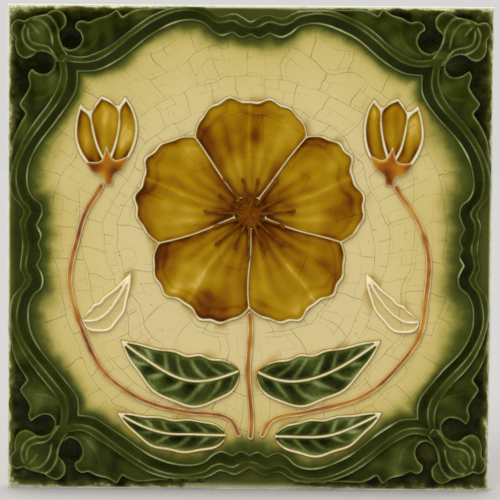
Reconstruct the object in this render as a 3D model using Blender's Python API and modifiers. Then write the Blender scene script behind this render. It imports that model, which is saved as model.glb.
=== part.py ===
"""A square relief fireplace tile, standing upright on one edge with its glazed face towards -Y.

The pressed earthenware body has a grooved back that keys into mortar. On its face lie the pools of coloured
glaze and the raised ornament: a scalloped frame with acanthus corners round a cream field, and a symmetrical
spray of one open bloom, two buds and six leaves.

The origin is the middle of the back face. Sizes are millimetres, and MM turns them into Blender's metres.
Outlines are drawn in hundredths of half the tile's side, from the tile's centre, so they follow its size.
"""

import math

import bpy

MM = 0.001

# Driving dimensions, in millimetres
TILE_SIDE = 152.4
TILE_THICKNESS = 9.5
BODY_THICKNESS = 7.0
EDGE_CHAMFER = 0.7
FACE_MARGIN = 0.6        # bare clay between the glaze and the tile's edge
BED_GAP = 0.3            # between a layer and what it lies on
SIDE_GAP = 0.3           # between two pieces that lie side by side

GROOVE_COUNT = 8
GROOVE_WIDTH = 9.0
GROOVE_DEPTH = 1.6
RIB_WIDTH = 7.0
GROOVE_END = 10.0        # solid clay beyond each end of a groove
PANEL_WIDTH = 62.0       # the bare oval on the back
PANEL_HEIGHT = 34.0

POOL_DEPTH = 0.4         # cream field, cove and ground pools
INNER_LINE_WIDTH = 1.0
INNER_LINE_HEIGHT = 1.3
ORNAMENT_HEIGHT = 1.2    # acanthus leaves and corner buds
OUTLINE_WIDTH = 1.1      # raised lines of the spray
OUTLINE_HEIGHT = 0.7
TINT_DEPTH = 0.4         # coloured pools of the spray
TOP_TRIM_HEIGHT = 0.4    # stamens and calyxes, which lie over the petals
LONGEST_STEP = 3.2       # along a smooth outline

BLOOM_RADIUS = 37.0
PETAL_COUNT = 5
PETAL_DIP = 6.5          # how far the edge falls back between two petals
PETAL_NOTCH = 2.2        # the small dent at a petal's middle
RUFFLE_DEPTH = 0.45      # waves along a petal's edge
RUFFLE_COUNT = 7         # on each petal
SEED_RADIUS = 4.8
STAMEN_COUNT = 15
STAMEN_REACH = 13.5
STAMEN_WIDTH = 0.8
ANTHER_RADIUS = 1.0

BUD_HEIGHT = 25.0
BUD_WIDTH = 20.0
BUD_TILT = 4.0           # degrees from upright, outwards
BUD_BEARING = 29.0       # degrees above level, from the bloom's centre to a bud's middle
STEM_WIDTH = 2.0
STEM_CLEARANCE = 1.5     # from the centre stem to the bloom's lowest dip
SIDE_STEM_END = (1.5, -3.1)  # from a bud's base to its stem's end, under the calyx
UPPER_LEAF_WIDTH = 17.0
LOWER_LEAF_WIDTH = 13.0
PALE_LEAF_WIDTH = 9.0
PALE_LEAF_CLEARANCE = 4.6  # from its tip to the bloom
PALE_LEAF_BEARING = -27.0  # degrees below level, from the bloom's centre to its tip
MIDRIB_WIDTH = 1.1
LEAF_WIDEST = 0.4        # share of a leaf's length, from its base
LEAF_WAVE = 0.05         # share of its width

# Places of the spray, in hundredths of half the side. A stem ends at its flower, and a pale leaf's tip at the bloom
BLOOM_CENTRE = (0.0, 14.0)
SIDE_STEM = [(4.2, -81.0), (9.0, -72.5), (26.0, -67.5), (47.0, -62.0), (65.0, -45.0), (73.5, -16.0), (70.0, 9.0)]
CENTRE_STEM = [(0.0, -82.0), (0.6, -62.0), (-0.4, -45.0)]
UPPER_LEAF = [(3.5, -51.5), (28.0, -62.0), (54.0, -38.0)]
LOWER_LEAF = [(9.5, -80.5), (33.0, -82.5), (55.0, -69.5)]
PALE_LEAF = [(69.5, -30.0), (57.0, -33.0)]

SHARP = True             # a third entry marks a corner in an outline

# Lines of the frame in the top left corner, from its inner corner to the middle of the top and of the left side
INNER_TOP = [(-71.0, 72.8, SHARP), (-62.7, 73.3), (-53.9, 77.6), (-40.3, 88.0), (-30.4, 93.0), (-23.8, 94.0),
             (-18.8, 92.6), (-15.2, 89.4), (-11.6, 87.6), (-7.1, 89.0, SHARP), (-3.4, 86.9), (0.0, 88.3, SHARP)]
INNER_LEFT = [(-71.0, 68.2), (-72.1, 63.7), (-80.2, 51.6), (-86.3, 43.6), (-90.0, 37.0), (-91.6, 31.0),
              (-91.2, 24.2), (-89.2, 20.5), (-86.2, 18.0), (-85.5, 14.2), (-87.8, 9.0, SHARP), (-86.0, 4.4),
              (-87.3, 0.0, SHARP)]
COVE_TOP = [(-75.6, 77.0, SHARP), (-71.7, 76.4), (-67.2, 76.4), (-62.7, 77.3), (-58.2, 79.6), (-47.1, 88.2),
            (-40.3, 93.0), (-32.8, 96.6), (-25.8, 97.8), (-18.8, 96.4), (-15.2, 93.7), (-12.1, 92.6), (-7.1, 93.4),
            (-2.7, 91.2), (0.0, 90.7)]
COVE_LEFT = [(-75.0, 70.0), (-76.0, 65.1), (-78.8, 59.7), (-85.1, 51.2), (-90.4, 43.9), (-94.0, 37.2),
             (-95.7, 31.6), (-95.7, 26.3), (-93.6, 19.8), (-90.9, 17.0), (-90.0, 14.4), (-91.4, 11.7), (-92.1, 9.0),
             (-91.0, 2.4), (-90.8, 0.0)]
OUTER_TOP = [(-77.9, 79.4, SHARP), (-74.5, 79.2), (-70.8, 78.5), (-67.2, 78.7), (-62.7, 80.3), (-58.2, 82.5),
             (-47.1, 90.8), (-40.3, 95.3), (-32.8, 98.3), (-25.8, 99.0), (-18.9, 98.7), (-16.1, 97.6),
             (-12.1, 95.3), (-6.2, 96.3), (-3.1, 94.9), (0.0, 93.2)]
OUTER_LEFT = [(-78.1, 76.2), (-77.7, 73.1), (-77.9, 70.0), (-79.3, 65.2), (-82.4, 59.7), (-88.4, 51.6),
              (-93.1, 44.2), (-96.3, 37.4), (-98.0, 31.5), (-98.4, 26.3), (-97.3, 21.0), (-94.0, 17.2),
              (-92.8, 14.4), (-94.3, 10.4), (-94.0, 6.4), (-93.4, 0.0)]

# The mould was cut by hand, so the frame isn't a true mirror image of its top left quarter. Where the rest
# differs: a place on the mirrored frame, and how far across and up its real line lies from there
HAND_CUT = [
    (3.5, 87.0, 0.4, -0.2), (11.7, 87.5, 2.2, -0.9), (23.0, 94.0, 1.8, -2.1), (34.0, 92.0, 0.8, -0.8),
    (47.0, 83.0, 0.8, 0.8), (58.0, 76.0, 0.3, -0.5), (71.0, 72.0, 0.2, -2.4), (88.0, 88.0, 2.0, -1.6),
    (76.0, 58.0, -1.0, -1.0), (85.0, 44.0, 0.0, 0.0), (88.0, 15.0, 1.6, -0.6), (87.0, 5.0, 0.5, -2.6),
    (87.0, -8.0, 0.6, 2.0), (87.0, -17.0, 0.5, 1.5), (91.0, -30.0, 1.1, 0.0), (87.0, -42.0, 0.8, 0.2),
    (77.0, -55.0, -1.0, 1.1), (71.0, -70.0, -2.1, 2.3), (88.0, -88.0, -0.7, 0.8), (54.0, -77.0, 0.0, 1.5),
    (44.0, -85.0, 0.0, 1.2), (34.0, -92.0, 0.0, 2.3), (25.0, -94.0, 0.0, 2.8), (16.0, -89.5, 0.0, 3.6),
    (4.0, -88.0, 0.0, 2.2), (-7.0, -89.0, 0.0, 3.0), (-15.0, -89.5, 0.0, 4.3), (-26.0, -94.0, 0.0, 5.1),
    (-36.0, -90.5, 0.0, 2.8), (-44.0, -85.0, 0.0, 1.3), (-54.0, -77.5, 0.0, 0.7), (-71.0, -70.0, 0.5, 4.2),
    (-88.0, -88.0, -0.6, 3.5), (-77.0, -54.0, 1.1, 1.1), (-84.0, -45.0, 0.8, 0.6), (-91.0, -31.0, 0.8, 0.1),
    (-86.0, -17.0, 0.3, 1.4), (-87.0, -6.0, 0.3, 2.4), (-87.0, 8.0, 0.0, 0.0), (-7.0, 88.0, 0.0, 0.0),
]
CUT_REACH = 10.0         # how far from such a place the pattern is shifted with it
CUT_EASE = 0.1           # the pull of the mirrored place, next to 1 where a shift is given
SIDEWAYS_EASE = 5.0      # within this of the glaze's edge a sideways shift dies away
OUTWARD_EASE = 0.8       # and within this an upright one towards it
INWARD_EASE = 0.08        # or away from it, all in hundredths of half the side
PHOTO_TURN = 0.0073      # the photograph is turned clockwise by this, in radians, and the tile in it widens
PHOTO_TAPER = 0.0059     # upwards by this share from its middle: what was read in it is freed of both

# Relief in the same corner
TOP_ACANTHUS = [(-76.6, 82.6, SHARP), (-74.3, 81.3), (-70.8, 82.4), (-68.7, 85.8), (-69.7, 89.0), (-71.5, 90.7),
                (-71.0, 92.6), (-69.0, 93.4), (-66.3, 92.8), (-62.7, 94.3), (-58.2, 95.6), (-54.7, 97.7, SHARP),
                (-52.4, 95.0, SHARP), (-49.3, 96.7), (-45.8, 98.1, SHARP), (-39.5, 98.1, SHARP),
                (-47.6, 91.9), (-58.8, 83.6), (-63.0, 81.5), (-67.2, 80.1), (-70.8, 79.8), (-74.3, 80.4, SHARP)]
LEFT_ACANTHUS = [(-80.0, 77.0, SHARP), (-80.4, 74.5), (-82.8, 71.8), (-85.5, 71.3), (-88.2, 72.2),
                 (-89.6, 73.4, SHARP), (-90.9, 71.0), (-90.4, 66.8), (-92.3, 62.8), (-94.5, 59.0, SHARP),
                 (-92.0, 55.2, SHARP), (-94.5, 50.7), (-96.3, 47.0), (-97.6, 43.0, SHARP), (-97.6, 38.0, SHARP),
                 (-94.4, 44.9), (-89.7, 52.4), (-83.7, 60.4), (-80.6, 65.7), (-79.3, 70.0), (-79.1, 73.5, SHARP)]
CORNER_BUD = [(-78.3, 81.4, SHARP), (-78.3, 84.5), (-78.9, 87.5), (-78.6, 89.0, SHARP), (-77.0, 90.4), (-75.7, 92.5),
              (-76.2, 95.6), (-78.8, 97.7), (-81.5, 97.4), (-84.2, 95.8, SHARP), (-89.4, 94.9), (-92.7, 93.3, SHARP),
              (-95.8, 93.8), (-97.8, 92.1), (-98.1, 89.4), (-96.2, 86.5, SHARP), (-96.3, 83.1), (-94.9, 79.5),
              (-92.3, 78.2), (-89.6, 79.1), (-87.6, 80.7, SHARP), (-85.1, 81.1), (-82.4, 80.3),
              (-80.2, 79.4, SHARP)]

# A half-open bud, in shares of its width and height, upright above its base
BUD_OUTLINE = [(0.0, 0.0), (-0.22, 0.05), (-0.42, 0.24), (-0.5, 0.5), (-0.45, 0.76), (-0.34, 0.95, SHARP),
               (-0.2, 0.84), (-0.1, 0.93), (0.03, 1.0, SHARP), (0.13, 0.92), (0.22, 0.83), (0.37, 0.93, SHARP),
               (0.46, 0.74), (0.5, 0.48), (0.4, 0.22), (0.2, 0.04)]
BUD_POOLS = {
    "left": [(-0.06, 0.08), (-0.22, 0.11), (-0.37, 0.27), (-0.44, 0.5), (-0.4, 0.74), (-0.34, 0.86, SHARP),
             (-0.25, 0.77), (-0.23, 0.55), (-0.17, 0.33)],
    "middle": [(0.0, 0.14, SHARP), (-0.12, 0.36), (-0.18, 0.58), (-0.18, 0.78), (-0.08, 0.88), (0.03, 0.94, SHARP),
               (0.12, 0.86), (0.19, 0.77), (0.17, 0.56), (0.11, 0.34)],
    "right": [(0.06, 0.08), (0.2, 0.1), (0.35, 0.26), (0.44, 0.48), (0.41, 0.72), (0.36, 0.84, SHARP),
              (0.26, 0.75), (0.22, 0.54), (0.16, 0.32)],
}
CALYX = [(-0.06, -0.15, SHARP), (-0.1, -0.04), (-0.24, 0.03), (-0.37, 0.2, SHARP), (-0.16, 0.15), (-0.1, 0.17),
         (0.0, 0.33, SHARP), (0.09, 0.17), (0.16, 0.15), (0.36, 0.18, SHARP), (0.24, 0.02), (0.1, -0.04),
         (0.06, -0.15, SHARP)]

# Colour, roughness and metallic value of each finish
FINISHES = {
    "biscuit": ((0.62, 0.50, 0.36), 0.9, 0.0),
    "cream_glaze": ((0.66, 0.53, 0.24), 0.15, 0.0),
    "green_glaze": ((0.045, 0.062, 0.008), 0.15, 0.0),
    "deep_green_glaze": ((0.018, 0.026, 0.004), 0.15, 0.0),
    "thin_glaze": ((0.55, 0.50, 0.28), 0.2, 0.0),
    "amber_glaze": ((0.42, 0.21, 0.004), 0.15, 0.0),
    "brown_glaze": ((0.14, 0.045, 0.002), 0.15, 0.0),
    "leaf_glaze": ((0.035, 0.055, 0.010), 0.15, 0.0),
    "stem_glaze": ((0.36, 0.17, 0.015), 0.2, 0.0),
    "slip_line": ((0.83, 0.71, 0.48), 0.25, 0.0),
}

unit = TILE_SIDE / 200
half_side = TILE_SIDE / 2
layer_base = BODY_THICKNESS + BED_GAP
moulding_height = TILE_THICKNESS - layer_base
relief_base = layer_base + POOL_DEPTH + BED_GAP
trim_base = relief_base + OUTLINE_HEIGHT + BED_GAP


def clear_scene():
    for old in list(bpy.data.objects):
        bpy.data.objects.remove(old)


def new_collection(name):
    collection = bpy.data.collections.new(name)
    bpy.context.scene.collection.children.link(collection)
    return collection


def finish(name):
    """The shared material of one finish."""
    if name in bpy.data.materials:
        return bpy.data.materials[name]
    material = bpy.data.materials.new(name)
    material.use_nodes = True
    shader = material.node_tree.nodes["Principled BSDF"]
    colour, roughness, metallic = FINISHES[name]
    shader.inputs["Base Color"].default_value = (*colour, 1.0)
    shader.inputs["Roughness"].default_value = roughness
    shader.inputs["Metallic"].default_value = metallic
    material.diffuse_color = (*colour, 1.0)
    return material


# Outlines


def on_face(points):
    """Pattern units turned into millimetres, corner marks kept."""
    return [(point[0] * unit, point[1] * unit, *point[2:]) for point in points]


def flipped(points, across=1, up=1):
    """The points mirrored across (-1) or upside down, in the same order."""
    return [(point[0] * across, point[1] * up, *point[2:]) for point in points]


def spline_point(before, start, end, after, share):
    """A point on the centripetal Catmull-Rom span from start to end."""
    knots = [0.0]
    corners = (before, start, end, after)
    for one, two in zip(corners, corners[1:]):
        knots.append(knots[-1] + max(math.dist(one, two), 1e-6) ** 0.5)
    at = knots[1] + (knots[2] - knots[1]) * share

    def between(one, two, first, last):
        part = (at - first) / (last - first)
        return tuple(a + (b - a) * part for a, b in zip(one, two))

    low = between(before, start, knots[0], knots[1])
    middle = between(start, end, knots[1], knots[2])
    high = between(end, after, knots[2], knots[3])
    return between(between(low, middle, knots[0], knots[2]), between(middle, high, knots[1], knots[3]),
                   knots[1], knots[2])


def smooth_line(points, step):
    """Points along a smooth open line, without its last point."""
    ends = [tuple(point[:2]) for point in points]
    first = tuple(2 * a - b for a, b in zip(ends[0], ends[1]))
    last = tuple(2 * a - b for a, b in zip(ends[-1], ends[-2]))
    ends = [first, *ends, last]
    line = []
    for before, start, end, after in zip(ends, ends[1:], ends[2:], ends[3:]):
        count = max(1, round(math.dist(start, end) / step))
        line += [spline_point(before, start, end, after, i / count) for i in range(count)]
    return line


def smooth_loop(points, step=None):
    """Points round a closed outline that is smooth between its corners."""
    step = step or LONGEST_STEP
    sharp = [i for i, point in enumerate(points) if len(point) > 2]
    if not sharp:
        wrapped = points[-2:] + points + points[:3]
        line = smooth_line(wrapped, step)
        spans = [max(1, round(math.dist(a[:2], b[:2]) / step)) for a, b in zip(wrapped, wrapped[1:])]
        start = sum(spans[:2])
        return line[start:start + sum(spans[2:2 + len(points)])]
    turned = points[sharp[0]:] + points[:sharp[0]] + [points[sharp[0]]]
    marks = [i for i, point in enumerate(turned) if len(point) > 2]
    loop = []
    for first, last in zip(marks, marks[1:]):
        loop += smooth_line(turned[first:last + 1], step)
    return loop


def area(loop):
    return sum(a[0] * b[1] - b[0] * a[1] for a, b in zip(loop, loop[1:] + loop[:1])) / 2


def grown(loop, distance):
    """The outline moved outwards by a distance, or inwards where it is negative."""
    outwards = 1 if area(loop) > 0 else -1
    moved = []
    for before, point, after in zip(loop[-1:] + loop[:-1], loop, loop[1:] + loop[:1]):
        normals = []
        for one, two in ((before, point), (point, after)):
            length = math.dist(one, two)
            normals.append((outwards * (two[1] - one[1]) / length, outwards * (one[0] - two[0]) / length))
        across = (normals[0][0] + normals[1][0], normals[0][1] + normals[1][1])
        length_squared = max(across[0] ** 2 + across[1] ** 2, 1.0)
        reach = 2 * distance / length_squared
        moved.append((point[0] + across[0] * reach, point[1] + across[1] * reach))
    return moved


def frame_loop(top, left):
    """A whole frame line from its top left corner's two halves."""
    corner = on_face(top[::-1] + left)
    lower = flipped(corner[::-1], up=-1)
    left_side = corner + lower[1:]
    right_side = flipped(left_side[::-1], across=-1)
    return smooth_loop(left_side + right_side[1:-1])


def placed(shape, base, tilt_degrees, width, height, across=1):
    """An upright outline in shares of its size, tilted outwards about its base and moved there."""
    turn = math.radians(tilt_degrees)
    points = []
    for point in shape:
        x, z = point[0] * width, point[1] * height
        turned_x = x * math.cos(turn) + z * math.sin(turn)
        turned_z = z * math.cos(turn) - x * math.sin(turn)
        points.append((across * (base[0] + turned_x), base[1] + turned_z, *point[2:]))
    return points


# Solids


def hand_cut(x, z):
    """Where a point of the mirrored pattern lies in the hand-cut mould. The glaze's edge stays straight."""
    pull, across, up = CUT_EASE, 0.0, 0.0
    for place_x, place_z, shift_x, shift_z in HAND_CUT:
        nearness = math.exp(-((x / unit - place_x) ** 2 + (z / unit - place_z) ** 2) / CUT_REACH ** 2)
        pull += nearness
        across += nearness * shift_x
        up += nearness * shift_z
    across = across / pull * unit - PHOTO_TURN * z - PHOTO_TAPER * x * z / half_side
    up = up / pull * unit + PHOTO_TURN * x + PHOTO_TAPER * (half_side - z * z / half_side)
    glazed = half_side - FACE_MARGIN
    side_room = 1 - math.exp(-max(glazed - abs(x), 0.0) / unit / SIDEWAYS_EASE)
    upright_ease = INWARD_EASE if up * z < 0 else OUTWARD_EASE
    edge_room = 1 - math.exp(-max(glazed - abs(z), 0.0) / unit / upright_ease)
    return x + across * side_room, z + up * edge_room


def layer(name, loops, base, height, finish_name, collection):
    """Flat outlines, the first one outside and any others holes, made a layer of one height above the back."""
    data = bpy.data.curves.new(name, "CURVE")
    data.dimensions = "2D"
    data.fill_mode = "BOTH"
    data.extrude = height * MM / 2
    for loop in loops:
        spline = data.splines.new("POLY")
        spline.points.add(len(loop) - 1)
        for point, place in zip(spline.points, loop):
            x, z = hand_cut(*place)
            point.co = (x * MM, z * MM, 0.0, 1.0)
        spline.use_cyclic_u = True
    data.materials.append(finish(finish_name))
    piece = bpy.data.objects.new(name, data)
    piece.rotation_euler = (math.radians(90), 0, 0)
    piece.location = (0, -(base + height / 2) * MM, 0)
    collection.objects.link(piece)
    return piece


def box(name, size, centre, collection):
    bpy.ops.mesh.primitive_cube_add(size=1, location=[c * MM for c in centre])
    piece = bpy.context.object
    piece.name = name
    piece.scale = [s * MM for s in size]
    bpy.ops.object.transform_apply(location=False, rotation=False, scale=True)
    move_to(piece, collection)
    return piece


def move_to(piece, collection):
    for old in list(piece.users_collection):
        old.objects.unlink(piece)
    collection.objects.link(piece)


def as_cutter(piece):
    piece.hide_render = True
    piece.display_type = "WIRE"
    return piece


def cut(piece, cutter, name):
    boolean = piece.modifiers.new(name, "BOOLEAN")
    boolean.operation = "DIFFERENCE"
    boolean.object = cutter


def make_body(collection, cutters):
    """The pressed slab, its grooves running across the back round a bare oval panel."""
    body = box("biscuit_body", (TILE_SIDE, BODY_THICKNESS, TILE_SIDE), (0, -BODY_THICKNESS / 2, 0), collection)
    body.data.materials.append(finish("biscuit"))
    chamfer = body.modifiers.new("worn edges", "BEVEL")
    chamfer.width = EDGE_CHAMFER * MM
    chamfer.segments = 1

    bpy.ops.mesh.primitive_cylinder_add(vertices=48, radius=0.5, depth=1, rotation=(math.radians(90), 0, 0))
    panel = bpy.context.object
    panel.name = "panel_cutter"
    panel.scale = (PANEL_WIDTH * MM, PANEL_HEIGHT * MM, 4 * GROOVE_DEPTH * MM)
    bpy.ops.object.transform_apply(location=False, rotation=True, scale=True)
    move_to(as_cutter(panel), cutters)

    pitch = GROOVE_WIDTH + RIB_WIDTH
    for row in range(GROOVE_COUNT):
        height = (row - (GROOVE_COUNT - 1) / 2) * pitch
        size = (TILE_SIDE - 2 * GROOVE_END, 2 * GROOVE_DEPTH, GROOVE_WIDTH)
        groove = box(f"groove_cutter_{row + 1}", size, (0, 0, height), cutters)
        if abs(height) < (PANEL_HEIGHT + GROOVE_WIDTH) / 2:
            cut(groove, panel, "bare panel")
        cut(body, as_cutter(groove), f"groove {row + 1}")


def make_frame(collection):
    """The scalloped frame: raised moulding, deep cove, thin inner line, and the cream field inside it."""
    outer = frame_loop(OUTER_TOP, OUTER_LEFT)
    cove = frame_loop(COVE_TOP, COVE_LEFT)
    inner = frame_loop(INNER_TOP, INNER_LEFT)
    line_outside = grown(inner, INNER_LINE_WIDTH / 2)
    line_inside = grown(inner, -INNER_LINE_WIDTH / 2)
    layer("frame_moulding", [outer, cove], layer_base, moulding_height, "green_glaze", collection)
    layer("cove_glaze", [grown(cove, -SIDE_GAP), grown(line_outside, SIDE_GAP)], layer_base, POOL_DEPTH,
          "deep_green_glaze", collection)
    layer("inner_line", [line_outside, line_inside], layer_base, INNER_LINE_HEIGHT, "thin_glaze", collection)
    layer("field_glaze", [grown(line_inside, -SIDE_GAP)], layer_base, POOL_DEPTH, "cream_glaze", collection)


def cut_back(loop, distance):
    """The outline shrunk inwards, and kept inside the glazed part of the face."""
    limit = half_side - FACE_MARGIN
    return [(max(-limit, min(limit, x)), max(-limit, min(limit, z))) for x, z in grown(loop, -distance)]


def make_grounds(collection):
    """Glaze pools between the moulding and the tile's edge: four corners and the middles of the four sides."""
    rim = (half_side - FACE_MARGIN) / unit
    top = OUTER_TOP[:8]
    left = OUTER_LEFT[:7]
    corner = [(-rim, rim, SHARP), (top[-1][0], rim, SHARP), (*top[-1], SHARP), *top[-2::-1], *left[:-1],
              (*left[-1], SHARP), (-rim, left[-1][1], SHARP)]
    top_half = OUTER_TOP[11:]
    top_middle = [(top_half[0][0], rim, SHARP), (*top_half[0][:2], SHARP), *top_half[1:],
                  *flipped(top_half[-2:0:-1], across=-1), (-top_half[0][0], top_half[0][1], SHARP),
                  (-top_half[0][0], rim, SHARP)]
    left_half = OUTER_LEFT[10:]
    left_middle = [(-rim, left_half[0][1], SHARP), (*left_half[0][:2], SHARP), *left_half[1:],
                   *flipped(left_half[-2:0:-1], up=-1), (left_half[0][0], -left_half[0][1], SHARP),
                   (-rim, -left_half[0][1], SHARP)]
    pools = {
        "top_left": corner,
        "top_right": flipped(corner, across=-1),
        "bottom_left": flipped(corner, up=-1),
        "bottom_right": flipped(corner, across=-1, up=-1),
        "top_middle": top_middle,
        "bottom_middle": flipped(top_middle, up=-1),
        "left_middle": left_middle,
        "right_middle": flipped(left_middle, across=-1),
    }
    for place, points in pools.items():
        loop = cut_back(smooth_loop(on_face(points)), SIDE_GAP)
        layer(f"ground_glaze_{place}", [loop], layer_base, POOL_DEPTH, "deep_green_glaze", collection)


def make_corners(collection):
    """Two acanthus leaves and a bud in relief at each corner."""
    for up, row in ((1, "top"), (-1, "bottom")):
        for across, column in ((1, "left"), (-1, "right")):
            for name, shape in (("acanthus_level", TOP_ACANTHUS), ("acanthus_upright", LEFT_ACANTHUS),
                                ("corner_bud", CORNER_BUD)):
                loop = smooth_loop(on_face(flipped(shape, across, up)))
                layer(f"{name}_{row}_{column}", [loop], relief_base, ORNAMENT_HEIGHT, "green_glaze", collection)


# The open bloom


def bloom_edge(angle):
    """The bloom's radius at an angle in degrees, counted from the middle of a petal."""
    petal_angle = 360 / PETAL_COUNT
    turn = ((angle + petal_angle / 2) % petal_angle - petal_angle / 2) / (petal_angle / 2)
    ruffle = RUFFLE_DEPTH * math.cos(math.pi * RUFFLE_COUNT * turn) * (1 - turn ** 2)
    return BLOOM_RADIUS + ruffle - PETAL_DIP * abs(turn) ** 3 - PETAL_NOTCH * math.exp(-(turn / 0.16) ** 2)


def bloom_point(radius, angle):
    """A point of the bloom, its first petal pointing up."""
    turn = math.radians(angle + 90)
    return (BLOOM_CENTRE[0] * unit + radius * math.cos(turn), BLOOM_CENTRE[1] * unit + radius * math.sin(turn))


def petal_loop(angle, inset):
    """One petal's pool, set in from the raised lines round it."""
    half_angle = 180 / PETAL_COUNT
    side_inset = OUTLINE_WIDTH / 2 + inset
    inner_radius = SEED_RADIUS + OUTLINE_WIDTH + inset
    outer_radius = bloom_edge(half_angle) - OUTLINE_WIDTH - inset
    side_steps, edge_steps = 4, 20

    def side(sign):
        points = []
        for step in range(side_steps + 1):
            radius = inner_radius + (outer_radius - inner_radius) * step / side_steps
            turn = half_angle - math.degrees(side_inset / radius)
            points.append(bloom_point(radius, angle + sign * turn))
        return points

    edge_half = half_angle - math.degrees(side_inset / outer_radius)
    edge = []
    for step in range(1, edge_steps):
        turn = edge_half * (1 - 2 * step / edge_steps)
        edge.append(bloom_point(bloom_edge(turn) - OUTLINE_WIDTH - inset, angle + turn))
    return side(1) + edge + side(-1)[::-1]


def make_bloom(collection):
    """The open bloom: raised outline, petal pools, seed centre and a star of stamens over them."""
    angles = [k * 360 / PETAL_COUNT for k in range(PETAL_COUNT)]
    edge_count = 24 * PETAL_COUNT
    edge = [bloom_point(bloom_edge(k * 360 / edge_count), k * 360 / edge_count) for k in range(edge_count)]
    ring = [bloom_point(SEED_RADIUS, k * 15) for k in range(24)]
    holes = [petal_loop(angle, 0) for angle in angles]
    layer("bloom_outline", [edge, ring, *holes], relief_base, OUTLINE_HEIGHT, "slip_line", collection)
    for number, angle in enumerate(angles, 1):
        layer(f"bloom_petal_{number}", [petal_loop(angle, SIDE_GAP)], relief_base, TINT_DEPTH, "amber_glaze",
              collection)
    seed = [bloom_point(SEED_RADIUS - SIDE_GAP, k * 15) for k in range(24)]
    layer("bloom_seed_pool", [seed], relief_base, TINT_DEPTH, "brown_glaze", collection)
    layer("bloom_stamens", [stamen_star()], trim_base, TOP_TRIM_HEIGHT, "brown_glaze", collection)


def stamen_star():
    """Thin filaments round a disc, each with a round anther at its tip."""
    pitch = 360 / STAMEN_COUNT
    disc_radius = SEED_RADIUS * 0.8
    star = []
    for k in range(STAMEN_COUNT):
        turn = k * pitch + pitch / 2
        reach = STAMEN_REACH * (1.0 if k % 2 else 0.8)
        start = math.degrees(STAMEN_WIDTH / 2 / disc_radius)
        neck = math.degrees(STAMEN_WIDTH / 2 / (reach - ANTHER_RADIUS))
        centre = bloom_point(reach, turn)
        star += [bloom_point(disc_radius, turn - start), bloom_point(reach - ANTHER_RADIUS, turn - neck)]
        for step in range(5):
            swing = math.radians(turn + 90 + (step - 2) * 60)
            star.append((centre[0] + ANTHER_RADIUS * math.cos(swing), centre[1] + ANTHER_RADIUS * math.sin(swing)))
        star += [bloom_point(reach - ANTHER_RADIUS, turn + neck), bloom_point(disc_radius, turn + start)]
    return star


# Buds, stems and leaves


def reach(loop, start, bearing):
    """How far a straight line from a point inside a loop goes, at a bearing in degrees, before it meets the loop."""
    turn = math.radians(bearing)
    along = (math.cos(turn), math.sin(turn))
    distances = []
    for one, two in zip(loop, loop[1:] + loop[:1]):
        side = (two[0] - one[0], two[1] - one[1])
        offset = (one[0] - start[0], one[1] - start[1])
        across = along[0] * side[1] - along[1] * side[0]
        if across == 0:
            continue
        distance = (offset[0] * side[1] - offset[1] * side[0]) / across
        share = (offset[0] * along[1] - offset[1] * along[0]) / across
        if distance > 0 and 0 <= share <= 1:
            distances.append(distance)
    return min(distances)


def bud_base():
    """The foot of the right bud, whose middle lies midway between the bloom and the inner line."""
    line_inside = grown(frame_loop(INNER_TOP, INNER_LEFT), -INNER_LINE_WIDTH / 2)
    far = reach(line_inside, bloom_point(0, 0), BUD_BEARING)
    middle = bloom_point((BLOOM_RADIUS + far) / 2, BUD_BEARING - 90)
    tilt = math.radians(BUD_TILT)
    return (middle[0] - BUD_HEIGHT / 2 * math.sin(tilt), middle[1] - BUD_HEIGHT / 2 * math.cos(tilt))


def make_buds(collection):
    """Two half-open buds: raised outline, three petal pools, and a calyx over their base."""
    base = bud_base()
    for across, hand in ((-1, "left"), (1, "right")):
        def shaped(points):
            return smooth_loop(placed(points, base, BUD_TILT, BUD_WIDTH, BUD_HEIGHT, across))

        holes = {part: shaped(points) for part, points in BUD_POOLS.items()}
        layer(f"bud_{hand}_outline", [shaped(BUD_OUTLINE), *holes.values()], relief_base, OUTLINE_HEIGHT, "slip_line",
              collection)
        for part, hole in holes.items():
            layer(f"bud_{hand}_petal_{part}", [grown(hole, -SIDE_GAP)], relief_base, TINT_DEPTH, "amber_glaze",
                  collection)
        layer(f"bud_{hand}_calyx", [shaped(CALYX)], trim_base, TOP_TRIM_HEIGHT, "stem_glaze", collection)


def strip(points, width):
    """A band of one width along a smooth line, with square ends."""
    line = smooth_line(points, LONGEST_STEP) + [tuple(points[-1][:2])]
    near, far = [], []
    for k, (x, z) in enumerate(line):
        before, after = line[max(k - 1, 0)], line[min(k + 1, len(line) - 1)]
        length = math.dist(before, after)
        across = ((before[1] - after[1]) / length, (after[0] - before[0]) / length)
        near.append((x + across[0] * width / 2, z + across[1] * width / 2))
        far.append((x - across[0] * width / 2, z - across[1] * width / 2))
    return near + far[::-1]


def make_stems(collection):
    """The centre stem up to the bloom, and a side stem up to each bud."""
    bloom_foot = bloom_point(bloom_edge(180) + STEM_CLEARANCE, 180)
    layer("stem_centre", [strip(on_face(CENTRE_STEM) + [bloom_foot], STEM_WIDTH)], relief_base, OUTLINE_HEIGHT,
          "stem_glaze", collection)
    base = bud_base()
    stem_end = (base[0] + SIDE_STEM_END[0], base[1] + SIDE_STEM_END[1])
    for across, hand in ((-1, "left"), (1, "right")):
        route = flipped(on_face(SIDE_STEM) + [stem_end], across)
        layer(f"stem_{hand}", [strip(route, STEM_WIDTH)], relief_base, OUTLINE_HEIGHT, "stem_glaze", collection)


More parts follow.
